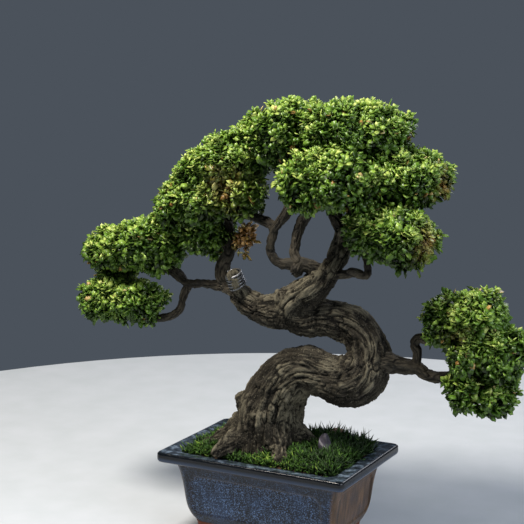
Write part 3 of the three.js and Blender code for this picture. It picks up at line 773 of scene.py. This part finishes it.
# round the rim: a black outer edge over a blue grey band, and blue grey patches on top, partly pooled
# glaze and partly a painted reflection
rimTop = readAttribute(tree, "rimTop")
bandShare = remap(tree, height, 0.0596, 0.0682)
band = ramp(tree, bandShare, (0.0, "#141a22"), (0.22, "#2b3b54"), (0.4, "#1c2737"), (0.55, "#090c10"),
            (1.0, "#0d1116"))
isLip = remap(tree, height, 0.0592, 0.0598)
lipped = blend(tree, isLip, faced, band)
pooled = noise(tree, place, 150.0, 5.0, Roughness=0.6)
# partly painted reflection: the rim's top faces are lightened to blue grey in patches
pools = ramp(tree, pooled, (0.36, "#14181d"), (0.52, "#36404c"), (0.68, "#6f7f8f"))
topped = blend(tree, rimTop, lipped, pools)
paint(tree, shader, topped)
gloss = remap(tree, flecks, 0.0, 1.0, 0.25, 0.5)
glossy = addNode(tree, "Mix", {0: isLip, 2: gloss, 3: 0.12}, data_type="FLOAT")
tree.links.new(glossy, shader.inputs["Roughness"])
bump(tree, shader, flecks, 0.0003, 0.55)

# Bare fired clay under the glaze line: matt, warm, a little sandy
clay, tree, shader, place = startMaterial("bare_red_stoneware", Roughness=0.85)
sand = noise(tree, place, 900.0, 3.0)
stain = noise(tree, place, 90.0, 3.0)
warm = ramp(tree, stain, (0.35, "#6e3a26"), (0.65, "#a05c3e"))
dusted = ramp(tree, sand, (0.3, 0.7), (0.7, 1.0))
sandy = blend(tree, 0.8, warm, dusted, "MULTIPLY")
paint(tree, shader, sandy)
bump(tree, shader, sand, 0.0003, 0.6)

bare.name = "pot_glazed"
bare.data.materials.clear()
bare.data.materials.append(glaze)
bare.data.materials.append(clay)
middle = np.empty(len(bare.data.polygons) * 3, np.float32)
bare.data.polygons.foreach_get("center", middle)
isBare = middle[2::3] < potShape["glazeLine"] * mm
bare.data.polygons.foreach_set("material_index", isBare.astype(np.int32))
feet.data.materials.append(clay)
bpy.ops.object.select_all(action="DESELECT")  # the frame's own objects stay out of the join
for part in (bare, feet):
    part.select_set(True)
bpy.context.view_layer.objects.active = bare
bpy.ops.object.join()
finishPiece(bare, "glazed_stoneware", "pot")


# Soil and the two stones

soilShape = {"level": 65, "rise": 7, "grain": 0.75, "bottom": 18.5, "gap": 0.3, "slope": 0.585}
soilInset = potShape["overhang"] + potShape["wall"] + soilShape["gap"]
soilHalf = (potShape["halfLength"] - soilInset, potShape["halfWidth"] - soilInset)
moundReach = soilShape["slope"] * soilHalf[1]


def moundHeight(inset):
    # A quarter sine wave up from the wall, then flat
    share = np.clip((inset - soilInset) / moundReach, 0, 1)
    return soilShape["level"] + soilShape["rise"] * np.sin(share * math.pi / 2)


def insetAt(x, y):
    # How far a place in plan is inside the rim
    return np.minimum(potShape["halfLength"] - np.abs(x), potShape["halfWidth"] - np.abs(y))


print("soil")
topInset = np.linspace(soilInset, potShape["halfWidth"] - 0.6, 58)
sideZ = np.linspace(soilShape["bottom"], soilShape["level"] - 1, 20)
wallSide = np.where(sideZ < neck, wallInset(np.minimum(sideZ, neck)), potShape["overhang"])
sideInset = potShape["wall"] + soilShape["gap"] + wallSide
insets = np.concatenate([np.linspace(55, sideInset[0], 10)[:-1], sideInset, topInset])
heights = np.concatenate([np.full(9, soilShape["bottom"]), sideZ, moundHeight(topInset)])
rings = outlineRings(insets, heights, 12, 70, 46)
flat = rings.reshape(-1, 3)
isTop = np.repeat(np.arange(len(insets)) >= 9 + len(sideZ), rings.shape[1])
grains = 0.9 * np.abs(softNoise(flat / 1.7, 41)) + 0.7 * softNoise(flat / 3.3, 42)
grains = grains + 0.9 * softNoise(flat / 9, 43)
flat = flat + np.outer(isTop * soilShape["grain"] * grains, [0, 0, 1])
soilPoints, soilFaces = closedGrid(flat.reshape(rings.shape))

# Potting mix: crumbly, matt, dark and damp between mid-brown crumbs
earth, tree, shader, place = startMaterial("damp_potting_soil", Roughness=0.95, Specular_IOR_Level=0.2)
# 1.6 mm crumbs
crumbs = addNode(tree, "TexVoronoi", {"Vector": place, "Scale": 620.0}).node.outputs["Distance"]
mixed = noise(tree, place, 260.0, 4.0)
tone = ramp(tree, mixed, (0.3, "#17110b"), (0.5, "#2f2318"), (0.72, "#5a4632"))
paint(tree, shader, tone)
bump(tree, shader, crumbs, 0.0008, 0.8, invert=True)
soil = makePiece("soil_top", soilPoints, soilFaces, [earth])
finishPiece(soil, "soil", "soil")


def makeStone(name, slotName, material, cadName, cuts, seed):
    # A ball cut by a few flat planes, then roughened: each direction goes out to the nearest plane
    low, high = (np.array(c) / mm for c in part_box(cadName))
    rings, sides = 48, 80
    latitude = (np.arange(rings) + 0.5) / rings * math.pi - math.pi / 2
    around = np.arange(sides) / sides * 2 * math.pi
    level, rise = np.cos(latitude)[:, None], np.sin(latitude)[:, None]
    ball = np.stack([level * np.cos(around), level * np.sin(around), rise * np.ones(sides)], -1)
    random = np.random.default_rng(seed)
    planes = unit(random.normal(size=(cuts, 3)))
    depth = random.uniform(0.72, 1.0, cuts)
    reach = np.min(depth / np.maximum(ball @ planes.T, 0.05), axis=-1)
    reach = np.minimum(reach, 1.12)
    directions = ball.reshape(-1, 3)
    rough = 1 + 0.05 * softNoise(directions * 3.1 + seed, 51)
    rough = rough + 0.025 * softNoise(directions * 9 + seed, 52)
    rock = directions * (reach.ravel() * rough)[:, None]
    rock = rock / np.abs(rock).max(0) * (high - low) / 2 + (high + low) / 2
    points, faces = closedGrid(rock.reshape(rings, sides, 3))
    piece = makePiece(name, points, faces, [material])
    finishPiece(piece, slotName, cadName)


# Slate chip: violet grey with fine pale layers and a white vein
slate, tree, shader, place = startMaterial("grey_slate", Roughness=0.6)
turned = addNode(tree, "Mapping", {0: place, "Rotation": (0.3, 0.9, 0.4)})
waves = {"Vector": turned, "Scale": 30.0, "Distortion": 3.0, "Detail": 3.0, "Detail Scale": 2.0}
layers = addNode(tree, "TexWave", waves).node.outputs["Fac"]  # 10 mm between veins
grey = ramp(tree, layers, (0.1, "#36333c"), (0.6, "#514d59"), (0.9, "#646070"), (0.985, "#b3b0b9"))
paint(tree, shader, grey)
chipped = noise(tree, place, 600.0, 4.0)
bump(tree, shader, chipped, 0.0004, 0.6)

# Sandstone lump: pinkish tan, grainy and dull
sandstone, tree, shader, place = startMaterial("tan_sandstone", Roughness=0.9)
grit = noise(tree, place, 1100.0, 3.0)
bands = noise(tree, place, 160.0, 3.0)
buff = ramp(tree, bands, (0.35, "#8f6f5d"), (0.6, "#bd9d89"), (0.75, "#d0b6a5"))
gritty = ramp(tree, grit, (0.35, 0.6), (0.6, 1.0))
grained = blend(tree, 0.8, buff, gritty, "MULTIPLY")
paint(tree, shader, grained)
bump(tree, shader, grit, 0.0004, 0.7)

makeStone("slate_chip", "grey_stone", slate, "stone_grey", 7, 12)
makeStone("sandstone_lump", "tan_stone", sandstone, "stone_tan", 12, 8)


# Moss: tufts of pointed blades over the soil, shared out to the patch whose middle is nearest

mossShape = {
    "spacing": 1.95,  # mm between tufts
    "blades": 6,
    "blade": 5.8,  # mm long
    "width": 1.3,
}
mossMiddles = {
    "moss_front_left": (-0.82, -0.88), "moss_front": (-0.1, -0.8), "moss_front_right": (0.68, -0.65),
    "moss_right": (0.72, 0.45), "moss_back": (0, 0.8), "moss_left": (-0.8, 0.3),
}


def bladePoints(root, direction, length, width, bend):
    # Three-sided spikes: a triangle at the root, a smaller one half way, and a point, bent over
    side = unit(np.cross(direction, [0.31, 0.17, 0.93]))
    other = np.cross(direction, side)
    turn = np.array([0, 2 * np.pi / 3, 4 * np.pi / 3])
    ring = side[:, None] * np.cos(turn)[None, :, None] + other[:, None] * np.sin(turn)[None, :, None]
    foot = root[:, None] + ring * (width / 2)[:, None, None]
    middle = root + direction * (0.55 * length)[:, None] + bend * (0.3 * length)[:, None]
    middle = middle[:, None] + ring * (0.4 * width)[:, None, None]
    tip = root + direction * length[:, None] + bend * length[:, None]
    return np.concatenate([foot, middle, tip[:, None]], axis=1)


bladeFaces = np.array([[0, 2, 1], [0, 1, 4], [0, 4, 3], [1, 2, 5], [1, 5, 4], [2, 0, 3], [2, 3, 5],
                       [3, 4, 6], [4, 5, 6], [5, 3, 6]])
bladeTip = np.array([0, 0, 0, 0.55, 0.55, 0.55, 1.0])

# Moss: fine pointed leaves, slightly waxy, dark at the root and yellow-green at the tip
mossGreen, tree, shader, place = startMaterial("cushion_moss", Roughness=0.5, Specular_IOR_Level=0.2)
tone = readAttribute(tree, "tone")
tip = readAttribute(tree, "tip")
shade = noise(tree, place, 240.0, 2.0)
leafy = ramp(tree, tone, (0.1, "#1b3010"), (0.45, "#31521a"), (0.75, "#527d26"), (0.95, "#8fac46"))
rooted = blend(tree, tip, "#12200b", leafy)
uneven = remap(tree, shade, 0.3, 0.7, 0.7, 1.15)
varied = addNode(tree, "HueSaturation", {"Color": rooted, "Value": uneven})
paint(tree, shader, varied)

print("moss")
random = np.random.default_rng(11)
columns = int(2 * soilHalf[0] / mossShape["spacing"])
rows = int(2 * soilHalf[1] / mossShape["spacing"])
gridX, gridY = np.meshgrid(np.linspace(-1, 1, columns), np.linspace(-1, 1, rows))
tuftX = gridX.ravel() * (soilHalf[0] + 0.3) + random.normal(0, 0.6, gridX.size)
tuftY = gridY.ravel() * (soilHalf[1] + 0.3) + random.normal(0, 0.6, gridX.size)
tuftZ = moundHeight(insetAt(tuftX, tuftY))
places = np.column_stack([tuftX, tuftY, tuftZ + 1.5])
clear = np.min([f[0] for f in alongLimbs(places, trunkLines)], axis=0)
bareSpot = np.minimum(np.hypot((tuftX - 37) / 10, (tuftY + 12) / 8),
                      np.hypot((tuftX + 52) / 11, (tuftY - 3) / 9))
patchy = softNoise(places / 12, 61)
backRight = ease(10, 55, tuftX + 0.8 * tuftY)
keep = (clear > 0.3) & (bareSpot + 0.3 * patchy > 0.9) & (insetAt(tuftX, tuftY) > soilInset - 0.4)
places, patchy, backRight, clear = places[keep], patchy[keep], backRight[keep], clear[keep]
# how high the mat stands over the soil
cushion = 2.8 + 2.6 * softNoise(places / 7, 62) + 2.0 * backRight
blades = mossShape["blades"]
tuft = np.repeat(np.arange(len(places)), blades)
count = len(tuft)
spread = random.normal(size=(count, 3)) * [0.75, 0.75, 0.2] + [0, 0, 1]
direction = unit(spread)
aside = random.normal(0, 0.5, (count, 2))
lift = cushion[tuft] * random.uniform(-0.7, 0.9, count) - 1.5
root = places[tuft] + np.column_stack([aside, lift])
length = mossShape["blade"] * random.uniform(0.5, 1.35, count) * (1 + 0.75 * backRight[tuft])
length = length * (0.75 + 0.25 * ease(0, 4, clear[tuft]))
width = mossShape["width"] * random.uniform(0.8, 1.3, count)
bend = random.normal(0, 0.16, (count, 3)) - [0, 0, 0.05]
bladeCloud = bladePoints(root, direction, length, width, bend)
tone = 0.42 + 0.22 * patchy[tuft] + random.normal(0, 0.22, count) - 0.14 * backRight[tuft]
tone = tone + 0.16 * np.exp(-np.square((root[:, 0] - 5) / 26) - np.square((root[:, 1] + 30) / 18))
middles = np.array(list(mossMiddles.values())) * soilHalf
owner = np.argmin(np.hypot(root[:, None, 0] - middles[:, 0], root[:, None, 1] - middles[:, 1]), axis=1)
for number, name in enumerate(mossMiddles):
    mine = bladeCloud[owner == number]
    faces = (np.arange(len(mine))[:, None, None] * len(bladeTip) + bladeFaces).reshape(-1, 3)
    piece = makePiece(name + "_blades", mine.reshape(-1, 3), [faces], [mossGreen], {
        "tone": np.repeat(np.clip(tone[owner == number], 0, 1), len(bladeTip)),
        "tip": np.tile(bladeTip, len(mine)),
    })
    finishPiece(piece, "moss", name)
    print(name, len(faces), "triangles")


# Training wire: a helix round the cut stub, with a bare end at its top

wireShape = {
    "axis": [[-28, -2, 188, 6], [-31.5, -9, 198, 5.1], [-34, -14, 210, 4.6]],  # the stub inside it
    "radius": 1.0, "turns": 5,
    "pitch": 2.4,  # mm along the stub for each turn
    "clearance": 0.3, "slack": 1.04,
}
print("wire")
axis = smoothPath(wireShape["axis"], 0.25)
ahead, side, up = pathFrames(axis)
share = np.linspace(0, 1, wireShape["turns"] * 32 + 1)
wound = wireShape["turns"] * wireShape["pitch"]
along = axis[-1, 4] - wound - wireShape["radius"] + share * wound
core, across, over = (
    np.stack([np.interp(along, axis[:, 4], part[:, k]) for k in range(part.shape[1])], -1)
    for part in (axis[:, :4], side, up)
)
angle = share * wireShape["turns"] * 2 * math.pi
swing = (core[:, 3] + wireShape["clearance"] + wireShape["radius"]) * wireShape["slack"]
helix = core[:, :3] + (across * np.cos(angle)[:, None] + over * np.sin(angle)[:, None]) * swing[:, None]
helix = np.column_stack([helix, np.full(len(helix), wireShape["radius"])])
wirePoints, wireFaces = carryRing(smoothPath(helix, 0.5), 12)

# Bare aluminium wire: soft grey shine with a fine drawn grain and dull oxide spots
aluminium, tree, shader, place = startMaterial("dull_aluminium_wire", Metallic=1.0)
spots = noise(tree, place, 700.0, 3.0)  # 1.4 mm
silver = ramp(tree, spots, (0.35, "#4d4f52"), (0.6, "#838588"))
paint(tree, shader, silver)
dull = remap(tree, spots, 0.3, 0.7, 0.6, 0.38)
tree.links.new(dull, shader.inputs["Roughness"])
bump(tree, shader, spots, 0.0001, 0.4)
coil = makePiece("training_wire_coil", wirePoints, wireFaces, [aluminium])
finishPiece(coil, "training_wire", "training_wire")


# The drain screens and the clips that hold them keep the frame's shapes

# Moulded plastic mesh: black-green, faintly rough
plastic, tree, shader, place = startMaterial("moulded_plastic_mesh", IOR=1.46)
cloudy = noise(tree, place, 500.0, 3.0)
darkGreen = ramp(tree, cloudy, (0.35, "#141a17"), (0.65, "#222b27"))
paint(tree, shader, darkGreen)
worn = remap(tree, cloudy, 0.0, 1.0, 0.35, 0.6)
tree.links.new(worn, shader.inputs["Roughness"])

# Bright clip wire: bent aluminium, brushed along its length
bright, tree, shader, place = startMaterial("bent_clip_wire", Metallic=1.0, Roughness=0.35)
brushed = noise(tree, place, 1200.0, 3.0)
tinny = ramp(tree, brushed, (0.35, "#96999c"), (0.65, "#c8cbce"))
paint(tree, shader, tinny)
for name, material in (("drain_screen_left", plastic), ("drain_screen_right", plastic),
                       ("screen_clip_left", bright), ("screen_clip_right", bright)):
    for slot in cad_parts[name].material_slots:
        slot.material = material


# Foliage: each pad is a few lobes of [x, y, z, half length, half width, half height] in millimetres,
# covered with rosettes of small leaves on short twigs

padLobes = {
    "pad_crown_left": [[9, -4, 320, 23, 28, 21], [-19, 6, 307, 19, 24, 18], [6, 32, 312, 17, 23, 18]],
    "pad_crown_right": [[58, -6, 322, 24, 30, 19], [84, 4, 319, 18, 25, 17], [50, 33, 314, 22, 24, 18]],
    "pad_upper_left": [[-39, 0, 294, 24, 30, 19], [-68, 4, 281, 17, 26, 17],
                       [-58, 26, 287, 19, 22, 16]],
    "pad_middle_left": [[-87, 4, 257, 21, 26, 20], [-55, -6, 263, 20, 22, 16],
                        [-86, 24, 258, 20, 20, 17]],
    "pad_middle_inner": [[-27, -6, 269, 13, 20, 15]],
    "pad_left_inner": [[-70, 10, 236, 18, 24, 15]],
    "pad_left": [[-159, 8, 214, 23, 24, 17], [-119, 2, 224, 24, 28, 20], [-148, 22, 215, 23, 22, 17]],
    "pad_lower_left": [[-167, 8, 173, 23, 24, 17], [-133, 0, 175, 18, 22, 16]],
    "pad_middle": [[41, -31, 285, 16, 24, 20], [69, -32, 287, 16, 25, 19], [47, -12, 283, 18, 20, 17]],
    "pad_upper_right": [[89, 2, 286, 18, 27, 17], [114, 8, 286, 18, 27, 17], [92, 28, 284, 20, 21, 15]],
    "pad_right": [[86, -16, 250, 18, 24, 18], [113, -18, 245, 17, 27, 21], [94, 6, 244, 18, 22, 17]],
    "pad_far_right_upper": [[141, 10, 182, 18, 26, 17], [160, 14, 185, 14, 22, 16]],
    "pad_far_right_middle": [[155, 2, 161, 12, 18, 13]],
    "pad_far_right_outer": [[173, 18, 160, 16, 25, 18]],
    "pad_far_right_lower": [[154, 12, 132, 16, 24, 14], [167, 18, 127, 14, 22, 15]],
    "tuft_dry": [[-27, -2, 236, 6, 7, 10]],
}

# dry or yellowing places: [x, y, z, reach, how dry]
dryPlaces = np.array([
    [-37, -18, 277, 13, 0.85], [134, 6, 286, 9, 1.0], [128, -20, 243, 11, 0.75], [-92, -8, 268, 5, 0.5],
    [-27, -2, 236, 14, 1.3], [60, -8, 303, 10, 0.45], [40, -12, 300, 8, 0.4], [150, -8, 176, 8, 0.35],
])

leafShape = {
    "length": 7.8,  # mm
    "width": 0.56,  # of the length
    "perRosette": 4,
    "perBud": 2,  # small upright leaves in the middle of each rosette
    "spacing": 4.5,  # mm between rosettes
    "inner": 0.55,  # rosettes below the surface for each one on it
    "clump": 4.0,  # mm, how far clumps stand out and gaps sink in
}

padShape = {
    "inside": 1.5,  # mm, how far the rosettes' surface lies inside the lobe
    "full": 1.15, "dryFull": 0.8,  # rosettes on the surface for each square of the spacing
    "depth": (3, 11),  # mm, the inner rosettes below the surface
    "swell": 4.2,  # mm, the slow waves of the surface
    "hidden": 0.86,  # a rosette this far out in another lobe, or less, is left out
    "sprigs": 16, "sprigTall": (2.5, 7.5),
    "twigs": 26, "dryTwigs": 8,
}

# One leaf, along x: a rim that is broadest past the middle, a sunk midrib above it and the
# underside below
rimAlong = np.array([0, 0.3, 0.74, 1.0, 0.74, 0.3])
rimAcross = np.array([0, 0.42, 0.47, 0, -0.47, -0.42])
leafPoints = np.vstack([
    np.column_stack([rimAlong, rimAcross * leafShape["width"],
                     0.12 * np.abs(rimAcross) + 0.05 * rimAlong]),
    [0.5, 0, -0.03], [0.5, 0, -0.10],
])
leafPoints[:-2, 2] -= 0.1 * rimAlong**2  # the tip turns down
ring = np.arange(len(rimAlong))
under, over = np.full(len(ring), len(ring) + 1), np.full(len(ring), len(ring))
leafFaces = np.vstack([
    np.column_stack([ring, np.roll(ring, -1), under]), np.column_stack([np.roll(ring, -1), ring, over]),
])
leafSize = len(leafPoints)
leafAlong = np.append(rimAlong, [0.5, 0.5])

# Leaf: small, leathery and half glossy; young ones yellow-green, old ones deep green, dying ones rust.
# The tone also holds painted shade on leaves deep in a pad and painted light on leaves that face up.
leafGreen, tree, shader, place = startMaterial("small_glossy_leaf", Roughness=0.38,
                                               Specular_IOR_Level=0.45)
tone = readAttribute(tree, "tone")
dry = readAttribute(tree, "dry")
tip = readAttribute(tree, "tip")
green = ramp(tree, tone, (0.0, "#131f05"), (0.3, "#304813"), (0.55, "#577c25"), (0.78, "#86a542"),
             (1.0, "#b9c96c"))
edge = remap(tree, tip, 0.0, 1.0, 0.82, 1.12)
lit = addNode(tree, "HueSaturation", {"Color": green, "Value": edge})
rust = ramp(tree, tone, (0.1, "#6e4a22"), (0.5, "#ad8142"), (0.9, "#d9c088"))
fading = blend(tree, dry, lit, rust)
blotch = noise(tree, place, 420.0, 2.0)
uneven = remap(tree, blotch, 0.3, 0.7, 0.8, 1.15)
varied = addNode(tree, "HueSaturation", {"Color": fading, "Value": uneven})
paint(tree, shader, varied)


def placeLeaves(root, direction, normal, length):
    # The leaf shape turned to each direction and normal, and grown to each length
    side = np.cross(normal, direction)
    return root[:, None] + length[:, None, None] * (
        leafPoints[None, :, 0:1] * direction[:, None] + leafPoints[None, :, 1:2] * side[:, None]
        + leafPoints[None, :, 2:3] * normal[:, None])


def thinTwigs(start, end, radius, sag, random):
    # Five-sided twigs: a straight line pushed aside by half a sine wave, thinner towards its end
    steps, sides = 5, 5
    share = np.linspace(0, 1, steps)[None, :, None]
    line = start[:, None] + (end - start)[:, None] * share
    line = line + sag[:, None] * np.sin(share * math.pi)
    ahead = unit(end - start)
    side = unit(np.cross(ahead, random.normal(size=ahead.shape)))
    up = np.cross(ahead, side)
    turn = np.arange(sides) / sides * 2 * math.pi
    ringPlaces = side[:, None] * np.cos(turn)[None, :, None] + up[:, None] * np.sin(turn)[None, :, None]
    thick = radius[:, None, None, None] * (1 - 0.6 * share)[..., None]
    rings = line[:, :, None] + ringPlaces[:, None] * thick
    points = np.concatenate([rings.reshape(len(start), -1, 3), line[:, :1], line[:, -1:]], axis=1)
    one = closedGrid(np.zeros((steps, sides, 3)))[1]
    size = steps * sides + 2
    offset = np.arange(len(start))[:, None, None] * size
    return points.reshape(-1, 3), [(f[None] + offset).reshape(-1, f.shape[1]) for f in one]


def bridged(lobes):
    # The lobes of a pad and, between the first and each of the others, one a little smaller than
    # their mean
    shrink = [1, 1, 1, 0.9, 0.9, 0.9]
    return [*lobes, *(np.add(lobes[0], other) / 2 * shrink for other in lobes[1:])]


print("leaves")
padLobes = {name: bridged(lobes) for name, lobes in padLobes.items()}
treeLow, treeHigh = np.array(cadBox[0]) / mm - 1, np.array(cadBox[1]) / mm + 1
allLobes = np.array([lobe for lobes in padLobes.values() for lobe in lobes], float)
woodPoints = np.vstack([line for lines in branchLines.values() for line in lines] + trunkLines[:2])
for number, (name, lobes) in enumerate(padLobes.items()):
    random = np.random.default_rng(100 + number)
    dryPad = name == "tuft_dry"
    rootList, outList, deepList = [], [], []
    twigStart, twigEnd = [], []
    for lobe in lobes:
        middle, half = np.array(lobe[:3], float), np.array(lobe[3:], float) - padShape["inside"]
        # Knud Thomsen's surface of an ellipsoid, with 1.6 as its power
        area = 4 * math.pi * (np.sum((half[[0, 0, 1]] * half[[1, 2, 2]]) ** 1.6) / 3) ** (1 / 1.6)
        full = padShape["dryFull"] if dryPad else padShape["full"]
        outer = int(area / leafShape["spacing"] ** 2 * full)
        ball = unit(random.normal(size=(int(outer * (1 + leafShape["inner"])), 3)))
        sunk = random.uniform(*padShape["depth"], len(ball))
        deep = np.where(np.arange(len(ball)) < outer, 0.0, sunk)
        out = unit(ball / half)
        place = middle + ball * half
        place = place + out * (padShape["swell"] * softNoise(place / 15 + 2, 70))[:, None]
        clump = softNoise(place / 9 + 7, 71) + 0.5 * softNoise(place / 4.5, 72)
        place = place + out * (leafShape["clump"] * clump - deep)[:, None]
        # leave out what another lobe covers
        scaled = (place[:, None] - allLobes[None, :, :3]) / allLobes[None, :, 3:]
        own = np.linalg.norm((place - middle) / (half + padShape["inside"]), axis=1)
        covered = (np.linalg.norm(scaled, axis=-1) < padShape["hidden"]).sum(1)
        covered = covered - (own < padShape["hidden"])
        below = (ball[:, 2] < -0.55) & (random.uniform(size=len(ball)) < 0.35)
        keep = (covered == 0) & ~below
        place, out, deep, clump, ball = place[keep], out[keep], deep[keep], clump[keep], ball[keep]
        rootList.append(place)
        outList.append(out)
        # how far in each rosette lies, the gaps between clumps counted too: it darkens its leaves as
        # painted shade
        deepList.append(deep / padShape["depth"][1] + 0.35 * np.clip(-clump, 0, 1))
        # sprigs: a few stems stand proud of the top and sides, with rosettes up them
        proud = np.flatnonzero((deep == 0) & (ball[:, 2] > -0.1))
        if len(proud) and not dryPad:
            chosen = random.choice(proud, min(len(proud), padShape["sprigs"]), replace=False)
            rise = unit(out[chosen] + [0, 0, 0.8] + random.normal(0, 0.25, (len(chosen), 3)))
            tall = random.uniform(*padShape["sprigTall"], len(chosen))
            for share in (0.45, 0.75, 1.0):
                rootList.append(place[chosen] + rise * (tall * share)[:, None])
                outList.append(rise)
                deepList.append(np.full(len(chosen), -0.12))
            twigStart.append(place[chosen] - out[chosen] * 2)
            twigEnd.append(place[chosen] + rise * tall[:, None])
        # twigs from the lobe's heart out to the rosettes
        heart = middle - [0, 0, 0.35 * half[2]]
        twigs = padShape["dryTwigs"] if dryPad else padShape["twigs"]
        ends = random.choice(len(place), min(len(place), twigs), replace=False)
        twigStart.append(np.repeat(heart[None], len(ends), 0) + random.normal(0, 1.2, (len(ends), 3)))
        twigEnd.append(place[ends] - out[ends] * 1.5)
        gaps = np.linalg.norm(woodPoints[:, :3] - heart - [0, 0, -4], axis=1)
        nearest = woodPoints[np.argmin(gaps), :3]
        twigStart.append(nearest[None] + random.normal(0, 0.6, (3, 3)))
        twigEnd.append(heart[None] + random.normal(0, 3.0, (3, 3)))
    root, out, deep = np.vstack(rootList), np.vstack(outList), np.concatenate(deepList)
    root = np.clip(root, treeLow, treeHigh)
    count = len(root)
    stem = unit(out + [0, 0, 0.55] + random.normal(0, 0.38, (count, 3)))
    first = unit(np.cross(stem, random.normal(size=(count, 3))))
    second = np.cross(stem, first)
    ringCount, budCount = leafShape["perRosette"], leafShape["perBud"]
    each = ringCount + budCount
    owner = np.repeat(np.arange(count), each)
    isBud = np.tile(np.arange(each) >= ringCount, count)
    turns = np.concatenate([np.arange(ringCount) / ringCount, np.arange(budCount) / budCount + 0.1])
    angle = np.tile(turns * 2 * np.pi, count)
    angle = angle + np.repeat(random.uniform(0, 6.28, count), each) + random.normal(0, 0.22, len(owner))
    tilt = np.where(isBud, random.normal(0.5, 0.15, len(owner)), random.normal(1.15, 0.22, len(owner)))
    aside = first[owner] * np.cos(angle)[:, None] + second[owner] * np.sin(angle)[:, None]
    along = stem[owner] * np.cos(tilt)[:, None] + aside * np.sin(tilt)[:, None]
    face = stem[owner] * np.sin(tilt)[:, None] - aside * np.cos(tilt)[:, None]
    rolled = np.cross(along, face)
    roll = random.normal(0, 0.25, len(owner))[:, None]
    face = unit(face * np.cos(roll) + rolled * np.sin(roll))
    length = leafShape["length"] * random.uniform(0.62, 1.25, len(owner)) * np.where(isBud, 0.68, 1.0)
    length = length * np.where(deep[owner] < 0, 0.85, 1.0)
    lift = np.where(isBud, 0.9, random.uniform(-0.9, 0.3, len(owner)))
    start = root[owner] + stem[owner] * lift[:, None]
    cloud = placeLeaves(start, along, face, length)
    patch = softNoise(root / 15 + 3, 73) * 0.11 + softNoise(root / 5, 74) * 0.07
    # leaf tone: patches and random spread, painted light on rosettes that face up, slight painted shade
    # towards +x and strong painted shade deep in the pad
    tone = 0.56 + patch[owner] + random.normal(0, 0.15, len(owner)) + 0.03 * isBud + 0.1 * out[owner, 2]
    tone = tone - 0.04 * ease(0, 120, root[owner, 0]) - 0.42 * np.clip(deep[owner], 0, 1)
    tone = tone + 0.12 * (deep[owner] < 0)
    dryness = np.zeros(count)
    for x, y, z, reach, amount in dryPlaces:
        dryness = np.maximum(dryness, amount * np.exp(-np.square((root - [x, y, z]) / reach).sum(1)))
    dryness = np.clip(dryness[owner] * random.uniform(0.5, 1.4, len(owner)), 0, 1)
    dryness = np.maximum(dryness, (random.uniform(size=len(owner)) < 0.012) * 0.8)
    leafCorners = (np.arange(len(cloud))[:, None, None] * leafSize + leafFaces).reshape(-1, 3)
    start, end = np.vstack(twigStart), np.vstack(twigEnd)
    sag = random.normal(0, 0.06, (len(start), 3)) * np.linalg.norm(end - start, axis=1)[:, None]
    far = np.linalg.norm(end - start, axis=1)
    twigPoints, twigFaces = thinTwigs(start, end, np.clip(far * 0.045, 0.3, 0.95), sag, random)
    points, faces = joinParts([(cloud.reshape(-1, 3), [leafCorners]), (twigPoints, twigFaces)])
    blank = np.zeros(len(twigPoints))
    whole = makePiece(name + "_leaves", points, faces, [leafGreen, youngBark], {
        "tone": np.concatenate([np.repeat(np.clip(tone, 0, 1), leafSize), blank]),
        "dry": np.concatenate([np.repeat(dryness, leafSize), blank]),
        "tip": np.concatenate([np.tile(leafAlong, len(cloud)), blank]),
        "ridge": np.concatenate([np.zeros(len(cloud) * leafSize), blank + 0.6]),
        "cracks": np.zeros(len(points)),
    }, np.concatenate([np.zeros(len(leafCorners)), np.ones(sum(len(f) for f in twigFaces))]))
    finishPiece(whole, "dry_leaf" if dryPad else "leaf", name)
    print(name, len(cloud), "leaves")
